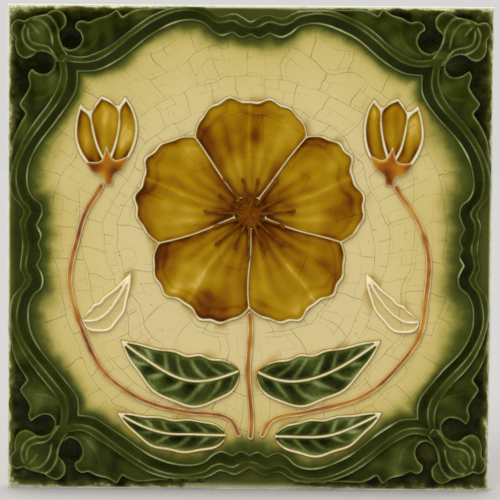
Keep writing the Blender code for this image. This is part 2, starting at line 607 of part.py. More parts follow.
def leaf_sides(route, width, steps=16):
    """For places along a leaf from base to tip: the midrib point, the direction across, and the half width."""
    base, bend, tip = route
    places = []
    for k in range(steps + 1):
        s = k / steps
        point = [base[i] * (1 - s) ** 2 + 2 * bend[i] * s * (1 - s) + tip[i] * s ** 2 for i in (0, 1)]
        along = [2 * (bend[i] - base[i]) * (1 - s) + 2 * (tip[i] - bend[i]) * s for i in (0, 1)]
        length = math.hypot(*along)
        fullness = (s / LEAF_WIDEST) ** (1.5 * LEAF_WIDEST)
        fullness *= ((1 - s) / (1 - LEAF_WIDEST)) ** (1.5 * (1 - LEAF_WIDEST))
        wave = 1 + LEAF_WAVE * math.sin(7 * math.pi * s)
        places.append((point, (-along[1] / length, along[0] / length), width / 2 * fullness * wave))
    return places


def leaf_edge(places):
    """The leaf's closed outline."""
    upper = [(p[0] + a[0] * w, p[1] + a[1] * w) for p, a, w in places]
    lower = [(p[0] - a[0] * w, p[1] - a[1] * w) for p, a, w in places[1:-1]]
    return upper + lower[::-1]


def leaf_pool(places, side, inset):
    """The pool on one side of the midrib, pointed where the raised lines round it meet."""
    near_reach = MIDRIB_WIDTH / 2 + inset
    edge_inset = OUTLINE_WIDTH + inset

    def beside(place, distance):
        point, across, _ = place
        return (point[0] + side * across[0] * distance, point[1] + side * across[1] * distance)

    near, far, ends = [], [], []
    for place, following in zip(places, places[1:] + places[-1:]):
        room = place[2] - edge_inset - near_reach
        next_room = following[2] - edge_inset - near_reach
        if room > 0:
            near.append(beside(place, near_reach))
            far.append(beside(place, near_reach + room))
        if room * next_room < 0:
            share = room / (room - next_room)
            one, two = beside(place, near_reach), beside(following, near_reach)
            ends.append(tuple(a + (b - a) * share for a, b in zip(one, two)))
    return [ends[0], *near, ends[1], *far[::-1]]


def make_leaves(collection):
    """Four leaves, each a raised outline with a midrib between two pools, and two outlined leaves left uncoloured."""
    pale_tip = bloom_point(BLOOM_RADIUS + PALE_LEAF_CLEARANCE, PALE_LEAF_BEARING - 90)
    kinds = (("upper", on_face(UPPER_LEAF), UPPER_LEAF_WIDTH), ("lower", on_face(LOWER_LEAF), LOWER_LEAF_WIDTH),
             ("pale", on_face(PALE_LEAF) + [pale_tip], PALE_LEAF_WIDTH))
    for across, hand in ((-1, "left"), (1, "right")):
        for kind, route, width in kinds:
            places = leaf_sides(flipped(route, across), width)
            holes = [leaf_pool(places, side, 0) for side in (1, -1)]
            layer(f"leaf_{kind}_{hand}_outline", [leaf_edge(places), *holes], relief_base, OUTLINE_HEIGHT,
                  "slip_line", collection)
            if kind == "pale":
                continue
            for side, part in ((1, "above"), (-1, "below")):
                pool = leaf_pool(places, side * across, SIDE_GAP)
                layer(f"leaf_{kind}_{hand}_{part}", [pool], relief_base, TINT_DEPTH, "leaf_glaze", collection)


def main():
    clear_scene()
    tile = new_collection("fireplace_tile")
    cutters = new_collection("cutters")
    make_body(tile, cutters)
    make_frame(tile)
    make_grounds(tile)
    make_corners(tile)
    make_bloom(tile)
    make_buds(tile)
    make_stems(tile)
    make_leaves(tile)


main()
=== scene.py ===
"""Looks of a square relief fireplace tile: a pressed earthenware slab flooded with coloured glazes.

Every glaze pool and raised ornament is a fine relief surface in the place of its solid. Its height above the
back and the thickness of its glaze come from distances to the lines drawn here. Lengths are millimetres
unless they say otherwise, and MM turns them into metres. Outlines are in hundredths of half the tile's side,
from its centre.
"""

import math
import random

import bmesh
import bpy
import numpy as np
from mathutils import Matrix, Vector
from mathutils.geometry import delaunay_2d_cdt


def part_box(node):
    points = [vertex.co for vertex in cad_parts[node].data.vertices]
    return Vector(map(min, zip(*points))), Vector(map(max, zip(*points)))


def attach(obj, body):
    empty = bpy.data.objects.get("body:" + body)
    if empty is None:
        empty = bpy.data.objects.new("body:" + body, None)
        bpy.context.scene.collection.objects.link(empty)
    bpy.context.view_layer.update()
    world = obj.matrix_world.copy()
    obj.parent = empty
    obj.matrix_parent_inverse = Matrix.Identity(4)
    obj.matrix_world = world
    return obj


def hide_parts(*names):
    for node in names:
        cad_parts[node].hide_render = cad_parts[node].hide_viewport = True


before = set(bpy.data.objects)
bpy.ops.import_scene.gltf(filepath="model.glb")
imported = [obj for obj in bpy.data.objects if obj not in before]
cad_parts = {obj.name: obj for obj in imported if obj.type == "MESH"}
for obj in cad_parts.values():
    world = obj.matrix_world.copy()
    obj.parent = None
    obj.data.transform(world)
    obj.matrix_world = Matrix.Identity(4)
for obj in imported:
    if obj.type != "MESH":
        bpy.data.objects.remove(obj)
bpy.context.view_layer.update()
bpy.ops.object.select_all(action="DESELECT")

MM = 0.001


def side_span(node):
    """A node's width across the face, in millimetres."""
    low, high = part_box(node)
    return (high.x - low.x) / MM


def levels(node):
    """How far a node's back and its front lie from the tile's back face."""
    low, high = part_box(node)
    return -high.y / MM, -low.y / MM


# Sizes taken from the frame
TILE_SIDE = side_span("biscuit_body")
BODY_FACE = levels("biscuit_body")[1]
POOL_FACE = levels("field_glaze")[1]
LINE_CREST = levels("inner_line")[1]
MOULDING_CREST = levels("frame_moulding")[1]
RELIEF_BASE, ORNAMENT_CREST = levels("corner_bud_top_left")
TINT_FACE = levels("bloom_petal_1")[1]
SLIP_CREST = levels("bloom_outline")[1]
TRIM_BASE, TRIM_CREST = levels("bloom_stamens")

# Sizes of the pressing, as in the solids
FACE_MARGIN = 0.6
GROOVE_COUNT = 8
GROOVE_WIDTH = 9.0
GROOVE_DEPTH = 1.6
RIB_WIDTH = 7.0
GROOVE_END = 10.0
PANEL_WIDTH = 62.0
PANEL_HEIGHT = 34.0
INNER_LINE_WIDTH = 1.0
OUTLINE_WIDTH = 1.1
BLOOM_RADIUS = 37.0
PETAL_COUNT = 5
PETAL_DIP = 6.5
PETAL_NOTCH = 2.2
RUFFLE_DEPTH = 0.45
RUFFLE_COUNT = 7
SEED_RADIUS = 4.8
STAMEN_COUNT = 15
STAMEN_REACH = 13.5
BUD_HEIGHT = 25.0
BUD_WIDTH = 20.0
BUD_TILT = 4.0
BUD_BEARING = 29.0
STEM_WIDTH = 2.0
STEM_CLEARANCE = 1.5
SIDE_STEM_END = (1.5, -3.1)
UPPER_LEAF_WIDTH = 17.0
LOWER_LEAF_WIDTH = 13.0
PALE_LEAF_WIDTH = 9.0
PALE_LEAF_CLEARANCE = 4.6
PALE_LEAF_BEARING = -27.0
MIDRIB_WIDTH = 1.1
LEAF_WIDEST = 0.4
LEAF_WAVE = 0.05

# Sizes of the finer relief
CREST_INSET = 0.42        # from a raised line's crest to the foot of its outer flank
CREST_WIDTH = 0.34        # how far a crest's rounding reaches
SPOKE_WIDTH = 0.8         # slip line between two petals
LINE_STEP = 0.42          # between points along a line
ROWS = (0.24, 0.52, 0.9)  # rows of points beside each line
BODY_OVERLAP = 0.1        # how deep a glaze pool's underside sits in what carries it
LIP = 0.12                # how far a pool runs under the slip line round it
EYE_RADIUS = 2.9          # round hollows beside the corner buds
BLOB_PITCH = 2.15         # pressed knobs along the tile's edge
BLOB_RADIUS = 0.8

# Places of the spray, as in the solids
BLOOM_CENTRE = (0.0, 14.0)
SIDE_STEM = [
    (4.2, -81.0), (9.0, -72.5), (26.0, -67.5), (47.0, -62.0), (65.0, -45.0), (73.5, -16.0), (70.0, 9.0),
]
CENTRE_STEM = [(0.0, -82.0), (0.6, -62.0), (-0.4, -45.0)]
UPPER_LEAF = [(3.5, -51.5), (28.0, -62.0), (54.0, -38.0)]
LOWER_LEAF = [(9.5, -80.5), (33.0, -82.5), (55.0, -69.5)]
PALE_LEAF = [(69.5, -30.0), (57.0, -33.0)]

SHARP = True

# Lines of the frame in the top left corner, as in the solids
INNER_TOP = [
    (-71.0, 72.8, SHARP), (-62.7, 73.3), (-53.9, 77.6), (-40.3, 88.0), (-30.4, 93.0), (-23.8, 94.0),
    (-18.8, 92.6), (-15.2, 89.4), (-11.6, 87.6), (-7.1, 89.0, SHARP), (-3.4, 86.9), (0.0, 88.3, SHARP),
]
INNER_LEFT = [(-71.0, 68.2), (-72.1, 63.7), (-80.2, 51.6), (-86.3, 43.6), (-90.0, 37.0), (-91.6, 31.0),
              (-91.2, 24.2), (-89.2, 20.5), (-86.2, 18.0), (-85.5, 14.2), (-87.8, 9.0, SHARP), (-86.0, 4.4),
              (-87.3, 0.0, SHARP)]
COVE_TOP = [
    (-75.6, 77.0, SHARP), (-71.7, 76.4), (-67.2, 76.4), (-62.7, 77.3), (-58.2, 79.6), (-47.1, 88.2),
    (-40.3, 93.0), (-32.8, 96.6), (-25.8, 97.8), (-18.8, 96.4), (-15.2, 93.7), (-12.1, 92.6),
    (-7.1, 93.4), (-2.7, 91.2), (0.0, 90.7),
]
COVE_LEFT = [
    (-75.0, 70.0), (-76.0, 65.1), (-78.8, 59.7), (-85.1, 51.2), (-90.4, 43.9), (-94.0, 37.2),
    (-95.7, 31.6), (-95.7, 26.3), (-93.6, 19.8), (-90.9, 17.0), (-90.0, 14.4), (-91.4, 11.7),
    (-92.1, 9.0), (-91.0, 2.4), (-90.8, 0.0),
]
OUTER_TOP = [
    (-77.9, 79.4, SHARP), (-74.5, 79.2), (-70.8, 78.5), (-67.2, 78.7), (-62.7, 80.3), (-58.2, 82.5),
    (-47.1, 90.8), (-40.3, 95.3), (-32.8, 98.3), (-25.8, 99.0), (-18.9, 98.7), (-16.1, 97.6),
    (-12.1, 95.3), (-6.2, 96.3), (-3.1, 94.9), (0.0, 93.2),
]
OUTER_LEFT = [(-78.1, 76.2), (-77.7, 73.1), (-77.9, 70.0), (-79.3, 65.2), (-82.4, 59.7), (-88.4, 51.6),
              (-93.1, 44.2), (-96.3, 37.4), (-98.0, 31.5), (-98.4, 26.3), (-97.3, 21.0), (-94.0, 17.2),
              (-92.8, 14.4), (-94.3, 10.4), (-94.0, 6.4), (-93.4, 0.0)]
LOBE_POINT = 9           # the outer line's point where it comes closest to the tile's edge

# The mould was cut by hand, so the frame isn't a true mirror image of its top left quarter. Where the rest
# differs: a place on the mirrored frame, and how far across and up its real line lies from there
HAND_CUT = [
    (3.5, 87.0, 0.4, -0.2), (11.7, 87.5, 2.2, -0.9), (23.0, 94.0, 1.8, -2.1), (34.0, 92.0, 0.8, -0.8),
    (47.0, 83.0, 0.8, 0.8), (58.0, 76.0, 0.3, -0.5), (71.0, 72.0, 0.2, -2.4), (88.0, 88.0, 2.0, -1.6),
    (76.0, 58.0, -1.0, -1.0), (85.0, 44.0, 0.0, 0.0), (88.0, 15.0, 1.6, -0.6), (87.0, 5.0, 0.5, -2.6),
    (87.0, -8.0, 0.6, 2.0), (87.0, -17.0, 0.5, 1.5), (91.0, -30.0, 1.1, 0.0), (87.0, -42.0, 0.8, 0.2),
    (77.0, -55.0, -1.0, 1.1), (71.0, -70.0, -2.1, 2.3), (88.0, -88.0, -0.7, 0.8), (54.0, -77.0, 0.0, 1.5),
    (44.0, -85.0, 0.0, 1.2), (34.0, -92.0, 0.0, 2.3), (25.0, -94.0, 0.0, 2.8), (16.0, -89.5, 0.0, 3.6),
    (4.0, -88.0, 0.0, 2.2), (-7.0, -89.0, 0.0, 3.0), (-15.0, -89.5, 0.0, 4.3), (-26.0, -94.0, 0.0, 5.1),
    (-36.0, -90.5, 0.0, 2.8), (-44.0, -85.0, 0.0, 1.3), (-54.0, -77.5, 0.0, 0.7), (-71.0, -70.0, 0.5, 4.2),
    (-88.0, -88.0, -0.6, 3.5), (-77.0, -54.0, 1.1, 1.1), (-84.0, -45.0, 0.8, 0.6), (-91.0, -31.0, 0.8, 0.1),
    (-86.0, -17.0, 0.3, 1.4), (-87.0, -6.0, 0.3, 2.4), (-87.0, 8.0, 0.0, 0.0), (-7.0, 88.0, 0.0, 0.0),
]
CUT_REACH = 10.0         # how far from such a place the pattern is shifted with it
CUT_EASE = 0.1           # the pull of the mirrored place, next to 1 where a shift is given
SIDEWAYS_EASE = 5.0      # within this of the glaze's edge a sideways shift dies away
OUTWARD_EASE = 0.8       # and within this an upright one towards it
INWARD_EASE = 0.08       # or away from it, all in hundredths of half the side
PHOTO_TURN = 0.0073      # the photograph is turned clockwise by this, in radians, and the tile in it widens
PHOTO_TAPER = 0.0059     # upwards by this share from its middle: what was read in it is freed of both

# Outer edges of the relief in the same corner. Each leaf's other side runs along the moulding
TOP_ACANTHUS_EDGE = [
    (-76.6, 82.6, SHARP), (-74.3, 81.3), (-70.8, 82.4), (-68.7, 85.8), (-69.7, 89.0), (-71.5, 90.7),
    (-71.0, 92.6), (-69.0, 93.4), (-66.3, 92.8), (-62.7, 94.3), (-58.2, 95.6), (-54.7, 97.7, SHARP),
    (-52.4, 95.0, SHARP), (-49.3, 96.7), (-45.8, 98.1), (-39.5, 98.4), (-33.5, 98.6, SHARP),
]
LEFT_ACANTHUS_EDGE = [
    (-80.0, 77.0, SHARP), (-80.4, 74.5), (-82.8, 71.8), (-85.5, 71.3), (-88.2, 72.2),
    (-89.6, 73.4, SHARP), (-90.9, 71.0), (-90.4, 66.8), (-92.3, 62.8), (-94.5, 59.0, SHARP),
    (-92.0, 55.2, SHARP), (-94.5, 50.7), (-96.3, 47.0), (-97.6, 43.0), (-98.1, 38.0),
    (-98.2, 33.0, SHARP),
]
CORNER_BUD = [
    (-76.9, 82.3, SHARP), (-78.1, 84.9), (-78.7, 87.5), (-78.6, 89.0, SHARP), (-77.0, 90.4),
    (-75.7, 92.5), (-76.2, 95.6), (-78.8, 97.7), (-81.5, 97.4), (-84.2, 95.8, SHARP), (-89.4, 94.9),
    (-92.7, 93.3, SHARP), (-95.8, 93.8), (-97.8, 92.1), (-98.1, 89.4), (-96.2, 86.5, SHARP),
    (-96.3, 83.1), (-94.9, 79.5), (-92.3, 78.2), (-89.6, 79.1), (-87.6, 80.7, SHARP), (-85.1, 81.1),
    (-82.6, 80.3), (-80.8, 78.7), (-80.1, 77.0, SHARP), (-77.0, 76.6, SHARP), (-74.8, 79.0, SHARP),
]
EYES = [(-73.4, 85.8), (-84.9, 76.0)]
MOULDING_TIP = (77.0, 78.2)  # where the bud's neck runs into the moulding

# Raised lines inside the corner bud and along the leaves' middles
BUD_LINES = [
    [(-89.1, 94.1), (-87.3, 95.1), (-84.6, 96.0), (-82.4, 95.3), (-80.6, 93.4), (-79.3, 91.2),
     (-78.6, 88.9)],
    [(-89.1, 94.1), (-86.4, 93.8), (-84.2, 92.3), (-82.5, 90.1), (-81.5, 87.4), (-81.1, 84.5)],
    [(-92.5, 91.6), (-93.5, 89.4), (-93.4, 86.7), (-92.3, 84.0), (-90.0, 82.0), (-87.6, 81.0)],
    [(-91.3, 90.1), (-91.1, 87.2), (-90.0, 85.1), (-87.8, 83.9), (-85.1, 83.4), (-82.9, 82.7), (-81.4, 81.1),
     (-80.4, 79.4), (-79.2, 77.6)],
    [(-78.6, 88.9), (-78.1, 86.0), (-77.3, 83.4), (-76.2, 81.2), (-74.9, 79.6)],
    [(-89.6, 91.6), (-88.4, 90.4), (-87.3, 88.9)],
]
LEFT_LEAF_VEIN = [(-87.6, 61.4), (-83.7, 62.5), (-80.6, 64.8), (-78.9, 67.9)]
TOP_LEAF_VEIN = [(-62.0, 88.6), (-63.2, 85.4), (-66.0, 82.4), (-69.4, 80.6)]

# A half-open bud, in shares of its width and height, as in the solids
BUD_OUTLINE = [
    (0.0, 0.0), (-0.22, 0.05), (-0.42, 0.24), (-0.5, 0.5), (-0.45, 0.76), (-0.34, 0.95, SHARP),
    (-0.2, 0.84), (-0.1, 0.93), (0.03, 1.0, SHARP), (0.13, 0.92), (0.22, 0.83), (0.37, 0.93, SHARP),
    (0.46, 0.74), (0.5, 0.48), (0.4, 0.22), (0.2, 0.04),
]
BUD_POOLS = {
    "left": [(-0.06, 0.08), (-0.22, 0.11), (-0.37, 0.27), (-0.44, 0.5), (-0.4, 0.74), (-0.34, 0.86, SHARP),
             (-0.25, 0.77), (-0.23, 0.55), (-0.17, 0.33)],
    "middle": [(0.0, 0.14, SHARP), (-0.12, 0.36), (-0.18, 0.58), (-0.18, 0.78), (-0.08, 0.88),
               (0.03, 0.94, SHARP), (0.12, 0.86), (0.19, 0.77), (0.17, 0.56), (0.11, 0.34)],
    "right": [(0.06, 0.08), (0.2, 0.1), (0.35, 0.26), (0.44, 0.48), (0.41, 0.72), (0.36, 0.84, SHARP),
              (0.26, 0.75), (0.22, 0.54), (0.16, 0.32)],
}
CALYX = [
    (-0.06, -0.15, SHARP), (-0.1, -0.04), (-0.24, 0.03), (-0.37, 0.2, SHARP), (-0.16, 0.15),
    (-0.1, 0.17), (0.0, 0.33, SHARP), (0.09, 0.17), (0.16, 0.15), (0.36, 0.18, SHARP), (0.24, 0.02),
    (0.1, -0.04), (0.06, -0.15, SHARP),
]

unit = TILE_SIDE / 200
half_side = TILE_SIDE / 2
glazed = half_side - FACE_MARGIN    # how far the glaze reaches from the middle
on_body = BODY_FACE - BODY_OVERLAP  # where the undersides of what lies on the slab are
on_pool = POOL_FACE - BODY_OVERLAP  # and of what lies on the cream pool
CORNERS = [(up, across, row, column) for up, row in ((1, "top"), (-1, "bottom"))
           for across, column in ((1, "left"), (-1, "right"))]


# Outlines


def on_face(points):
    """Pattern units turned into millimetres, corner marks kept."""
    return [(point[0] * unit, point[1] * unit, *point[2:]) for point in points]


def flipped(points, across=1, up=1):
    """The points mirrored across (-1) or upside down, in the same order."""
    return [(point[0] * across, point[1] * up, *point[2:]) for point in points]


def spline_point(before, start, end, after, share):
    """A point on the centripetal Catmull-Rom span from start to end."""
    knots = [0.0]
    corners = (before, start, end, after)
    for one, two in zip(corners, corners[1:]):
        knots.append(knots[-1] + max(math.dist(one, two), 1e-6) ** 0.5)
    at = knots[1] + (knots[2] - knots[1]) * share

    def between(one, two, first, last):
        part = (at - first) / (last - first)
        return tuple(a + (b - a) * part for a, b in zip(one, two))

    low = between(before, start, knots[0], knots[1])
    middle = between(start, end, knots[1], knots[2])
    high = between(end, after, knots[2], knots[3])
    return between(between(low, middle, knots[0], knots[2]), between(middle, high, knots[1], knots[3]),
                   knots[1], knots[2])


def smooth_line(points):
    """Points along a smooth open line, without its last point."""
    ends = [tuple(point[:2]) for point in points]
    first = tuple(2 * a - b for a, b in zip(ends[0], ends[1]))
    last = tuple(2 * a - b for a, b in zip(ends[-1], ends[-2]))
    ends = [first, *ends, last]
    line = []
    for before, start, end, after in zip(ends, ends[1:], ends[2:], ends[3:]):
        count = max(1, round(math.dist(start, end) / LINE_STEP))
        line += [spline_point(before, start, end, after, i / count) for i in range(count)]
    return line


def open_line(points):
    """A smooth open line with both ends, as an array."""
    return np.array(smooth_line(points) + [tuple(points[-1][:2])])


def smooth_loop(points):
    """Points round a closed outline that is smooth between its corners."""
    sharp = [i for i, point in enumerate(points) if len(point) > 2]
    if not sharp:
        wrapped = points[-2:] + points + points[:3]
        line = smooth_line(wrapped)
        counts = [max(1, round(math.dist(a[:2], b[:2]) / LINE_STEP)) for a, b in zip(wrapped, wrapped[1:])]
        start = sum(counts[:2])
        return line[start:start + sum(counts[2:2 + len(points)])]
    turned = points[sharp[0]:] + points[:sharp[0]] + [points[sharp[0]]]
    marks = [i for i, point in enumerate(turned) if len(point) > 2]
    loop = []
    for first, last in zip(marks, marks[1:]):
        loop += smooth_line(turned[first:last + 1])
    return loop


def area(loop):
    return sum(a[0] * b[1] - b[0] * a[1] for a, b in zip(loop, loop[1:] + loop[:1])) / 2


def grown(loop, distance):
    """The outline moved outwards by a distance, or inwards where it is negative."""
    loop = [tuple(point) for point in loop]
    outwards = 1 if area(loop) > 0 else -1
    moved = []
    for before, point, after in zip(loop[-1:] + loop[:-1], loop, loop[1:] + loop[:1]):
        normals = []
        for one, two in ((before, point), (point, after)):
            length = max(math.dist(one, two), 1e-9)
            normals.append((outwards * (two[1] - one[1]) / length, outwards * (one[0] - two[0]) / length))
        across = (normals[0][0] + normals[1][0], normals[0][1] + normals[1][1])
        length_squared = max(across[0] ** 2 + across[1] ** 2, 1.0)
        reach_out = 2 * distance / length_squared
        moved.append((point[0] + across[0] * reach_out, point[1] + across[1] * reach_out))
    return moved


def frame_loop(top, left):
    """A whole frame line from its top left corner's two halves."""
    corner = on_face(top[::-1] + left)
    lower = flipped(corner[::-1], up=-1)
    left_side = corner + lower[1:]
    right_side = flipped(left_side[::-1], across=-1)
    return smooth_loop(left_side + right_side[1:-1])


def bud_loop(shape, base, across):
    """An outline in shares of a bud's size, tilted outwards about the bud's base and moved there."""
    turn = math.radians(BUD_TILT)
    points = []
    for point in shape:
        x, z = point[0] * BUD_WIDTH, point[1] * BUD_HEIGHT
        turned_x = x * math.cos(turn) + z * math.sin(turn)
        turned_z = z * math.cos(turn) - x * math.sin(turn)
        points.append((across * (base[0] + turned_x), base[1] + turned_z, *point[2:]))
    return smooth_loop(points)


def bloom_edge(angle):
    """The bloom's radius at an angle in degrees from the middle of a petal. It takes arrays too."""
    petal_angle = 360 / PETAL_COUNT
    turn = ((angle + petal_angle / 2) % petal_angle - petal_angle / 2) / (petal_angle / 2)
    ruffle = RUFFLE_DEPTH * np.cos(math.pi * RUFFLE_COUNT * turn) * (1 - turn ** 2)
    return BLOOM_RADIUS + ruffle - PETAL_DIP * abs(turn) ** 3 - PETAL_NOTCH * np.exp(-(turn / 0.16) ** 2)


def bloom_point(radius, angle):
    """A point of the bloom, its first petal pointing up."""
    turn = math.radians(angle + 90)
    return (BLOOM_CENTRE[0] * unit + radius * math.cos(turn),
            BLOOM_CENTRE[1] * unit + radius * math.sin(turn))


def bloom_loop():
    count = round(2 * math.pi * BLOOM_RADIUS / LINE_STEP)
    return [bloom_point(bloom_edge(k * 360 / count), k * 360 / count) for k in range(count)]


def disc_loop(radius):
    """A circle about the bloom's middle."""
    return [bloom_point(radius, k * 5) for k in range(72)]


def petal_loop(angle):
    """One petal's pool, set in from the slip lines beside it and along its edge."""
    half_angle = 180 / PETAL_COUNT
    side_inset = SPOKE_WIDTH / 2
    inner_radius = SEED_RADIUS + OUTLINE_WIDTH * 0.8
    outer_radius = bloom_edge(half_angle) - OUTLINE_WIDTH
    side_steps = round((outer_radius - inner_radius) / LINE_STEP)
    edge_steps = round(math.radians(2 * half_angle) * BLOOM_RADIUS / LINE_STEP)

    def side(sign):
        points = []
        for step in range(side_steps + 1):
            radius = inner_radius + (outer_radius - inner_radius) * step / side_steps
            turn = half_angle - math.degrees(side_inset / radius)
            points.append(bloom_point(radius, angle + sign * turn))
        return points

    edge_half = half_angle - math.degrees(side_inset / outer_radius)
    edge = []
    for step in range(1, edge_steps):
        turn = edge_half * (1 - 2 * step / edge_steps)
        edge.append(bloom_point(bloom_edge(turn) - OUTLINE_WIDTH, angle + turn))
    return side(1) + edge + side(-1)[::-1]


def reach(loop, start, bearing):
    """How far a straight line from inside a loop goes, at a bearing in degrees, until it meets the loop."""
    turn = math.radians(bearing)
    along = (math.cos(turn), math.sin(turn))
    distances = []
    for one, two in zip(loop, loop[1:] + loop[:1]):
        side = (two[0] - one[0], two[1] - one[1])
        offset = (one[0] - start[0], one[1] - start[1])
        across = along[0] * side[1] - along[1] * side[0]
        if across == 0:
            continue
        distance = (offset[0] * side[1] - offset[1] * side[0]) / across
        share = (offset[0] * along[1] - offset[1] * along[0]) / across
        if distance > 0 and 0 <= share <= 1:
            distances.append(distance)
    return min(distances)


def bud_base():
    """The foot of the right bud, whose middle lies midway between the bloom and the inner line."""
    line_inside = grown(frame_loop(INNER_TOP, INNER_LEFT), -INNER_LINE_WIDTH / 2)
    far = reach(line_inside, bloom_point(0, 0), BUD_BEARING)
    middle = bloom_point((BLOOM_RADIUS + far) / 2, BUD_BEARING - 90)
    tilt = math.radians(BUD_TILT)
    return (middle[0] - BUD_HEIGHT / 2 * math.sin(tilt), middle[1] - BUD_HEIGHT / 2 * math.cos(tilt))


def strip(points, width):
    """A band of one width along a smooth line, with round ends."""
    line = open_line(points)
    near, far = [], []
    for k, (x, z) in enumerate(line):
        before, after = line[max(k - 1, 0)], line[min(k + 1, len(line) - 1)]
        length = math.dist(before, after)
        across = ((before[1] - after[1]) / length, (after[0] - before[0]) / length)
        from_end = min(k, len(line) - 1 - k) * LINE_STEP / (width / 2)
        half = width / 2 * math.sqrt(1 - max(0.0, 1 - from_end) ** 2) if from_end < 1 else width / 2
        half = max(half, 0.12 * width)
        near.append((x + across[0] * half, z + across[1] * half))
        far.append((x - across[0] * half, z - across[1] * half))
    return near + far[::-1]


def leaf_half_width(s, width):
    """Half a leaf's width at a share of its length from the base. It takes arrays too."""
    s = np.clip(s, 0.0, 1.0)
    fullness = (s / LEAF_WIDEST) ** (1.5 * LEAF_WIDEST)
    fullness = fullness * ((1 - s) / (1 - LEAF_WIDEST)) ** (1.5 * (1 - LEAF_WIDEST))
    return width / 2 * fullness * (1 + LEAF_WAVE * np.sin(7 * math.pi * s))


def leaf_sides(route, width):
    """For places along a leaf from base to tip: the midrib's point, the way across and the half width."""
    base, bend, tip = route
    steps = 90
    places = []
    for k in range(steps + 1):
        s = k / steps
        point = [base[i] * (1 - s) ** 2 + 2 * bend[i] * s * (1 - s) + tip[i] * s ** 2 for i in (0, 1)]
        along = [2 * (bend[i] - base[i]) * (1 - s) + 2 * (tip[i] - bend[i]) * s for i in (0, 1)]
        length = math.hypot(*along)
        places.append((point, (-along[1] / length, along[0] / length), float(leaf_half_width(s, width))))
    return places


def leaf_edge(places):
    """The leaf's closed outline."""
    upper = [(p[0] + a[0] * w, p[1] + a[1] * w) for p, a, w in places]
    lower = [(p[0] - a[0] * w, p[1] - a[1] * w) for p, a, w in places[1:-1]]
    return upper + lower[::-1]


def leaf_pool(places, side):
    """The pool on one side of the midrib, pointed where the raised lines round it meet."""
    midrib_half = MIDRIB_WIDTH / 2

    def beside(place, distance):
        point, across, _ = place
        return (point[0] + side * across[0] * distance, point[1] + side * across[1] * distance)

    near, far, ends = [], [], []
    for place, following in zip(places, places[1:] + places[-1:]):
        room = place[2] - OUTLINE_WIDTH - midrib_half
        next_room = following[2] - OUTLINE_WIDTH - midrib_half
        if room > 0:
            near.append(beside(place, midrib_half))
            far.append(beside(place, midrib_half + room))
        if room * next_room < 0:
            share = room / (room - next_room)
            one, two = beside(place, midrib_half), beside(following, midrib_half)
            ends.append(tuple(a + (b - a) * share for a, b in zip(one, two)))
    return [ends[0], *near, ends[1], *far[::-1]]


# Measuring in the plane of the face


def spans(loops, lines):
    """The straight spans of closed loops and of open lines, as their starts and ends."""
    loops = [np.asarray([point[:2] for point in loop]) for loop in loops]
    lines = [np.asarray([point[:2] for point in line]) for line in lines]
    starts = loops + [line[:-1] for line in lines]
    ends = [np.roll(loop, -1, axis=0) for loop in loops] + [line[1:] for line in lines]
    return np.concatenate(starts), np.concatenate(ends)


def grouped(places, size):
    """The places' numbers, in groups that share a cell of a grid."""
    cells = np.floor(np.asarray(places) / size).astype(int)
    keys = cells[:, 0] * 100003 + cells[:, 1] if cells.ndim > 1 else cells
    order = np.argsort(keys, kind="stable")
    return np.split(order, np.nonzero(np.diff(keys[order]))[0] + 1) if len(order) else []


def span_distances(points, starts, sides, lengths):
    """Each point's squared distance to each span, and the share of the span at which it is nearest."""
    offset_x = points[:, 0:1] - starts[:, 0]
    offset_z = points[:, 1:2] - starts[:, 1]
    share = np.clip((offset_x * sides[:, 0] + offset_z * sides[:, 1]) / lengths ** 2, 0, 1)
    return (offset_x - share * sides[:, 0]) ** 2 + (offset_z - share * sides[:, 1]) ** 2, share


def nearest(points, loops=(), lines=()):
    """Each point's distance to the nearest of the lines, and how far along them that place is."""
    starts, ends = spans(loops, lines)
    sides = ends - starts
    lengths = np.maximum(np.hypot(sides[:, 0], sides[:, 1]), 1e-9)
    travelled = np.concatenate([[0.0], np.cumsum(lengths)[:-1]])
    distance, along = np.empty(len(points)), np.empty(len(points))
    for group in grouped(points, 6.0):
        part = points[group]
        middle = part.mean(0)
        spread = np.hypot(*(part - middle).T).max()
        from_middle = np.sqrt(span_distances(middle[None], starts, sides, lengths)[0][0])
        near = np.nonzero(from_middle <= from_middle.min() + 2 * spread + 1e-6)[0]
        gaps, share = span_distances(part, starts[near], sides[near], lengths[near])
        best = gaps.argmin(1)
        rows = np.arange(len(part))
        distance[group] = np.sqrt(gaps[rows, best])
        along[group] = travelled[near[best]] + share[rows, best] * lengths[near[best]]
    return distance, along


def inside(points, loops):
    """Whether each point lies within the first loop and outside the holes."""
    starts, ends = spans(loops, ())
    low, high = np.minimum(starts[:, 1], ends[:, 1]), np.maximum(starts[:, 1], ends[:, 1])
    rise_of = np.where(ends[:, 1] == starts[:, 1], 1e-12, ends[:, 1] - starts[:, 1])
    slope = (ends[:, 0] - starts[:, 0]) / rise_of
    result = np.empty(len(points), bool)
    for group in grouped(points[:, 1], 1.5):
        x, z = points[group, 0:1], points[group, 1:2]
        level = np.nonzero((low <= z.max()) & (high >= z.min()))[0]
        one, two = starts[level], ends[level]
        crosses = (one[:, 1] > z) != (two[:, 1] > z)
        result[group] = (crosses & (x < one[:, 0] + (z - one[:, 1]) * slope[level])).sum(1) % 2 == 1
    return result


def mottle(points, size, seed):
    """Smooth unevenness, mostly from -1 to 1, in patches about as wide as size."""
    draw = random.Random(seed)
    total = np.zeros(len(points))
    waves = 9
    for _ in range(waves):
        turn = draw.uniform(0, 2 * math.pi)
        rate = 2 * math.pi / (size * draw.uniform(1.3, 3.2))
        way = points[:, 0] * math.cos(turn) + points[:, 1] * math.sin(turn)
        total += np.sin(rate * way + draw.uniform(0, 6.3))
    return total / math.sqrt(waves)


def rise(value, low, high):
    """0 below low, 1 above high and smooth between."""
    share = np.clip((value - low) / (high - low), 0, 1)
    return share * share * (3 - 2 * share)


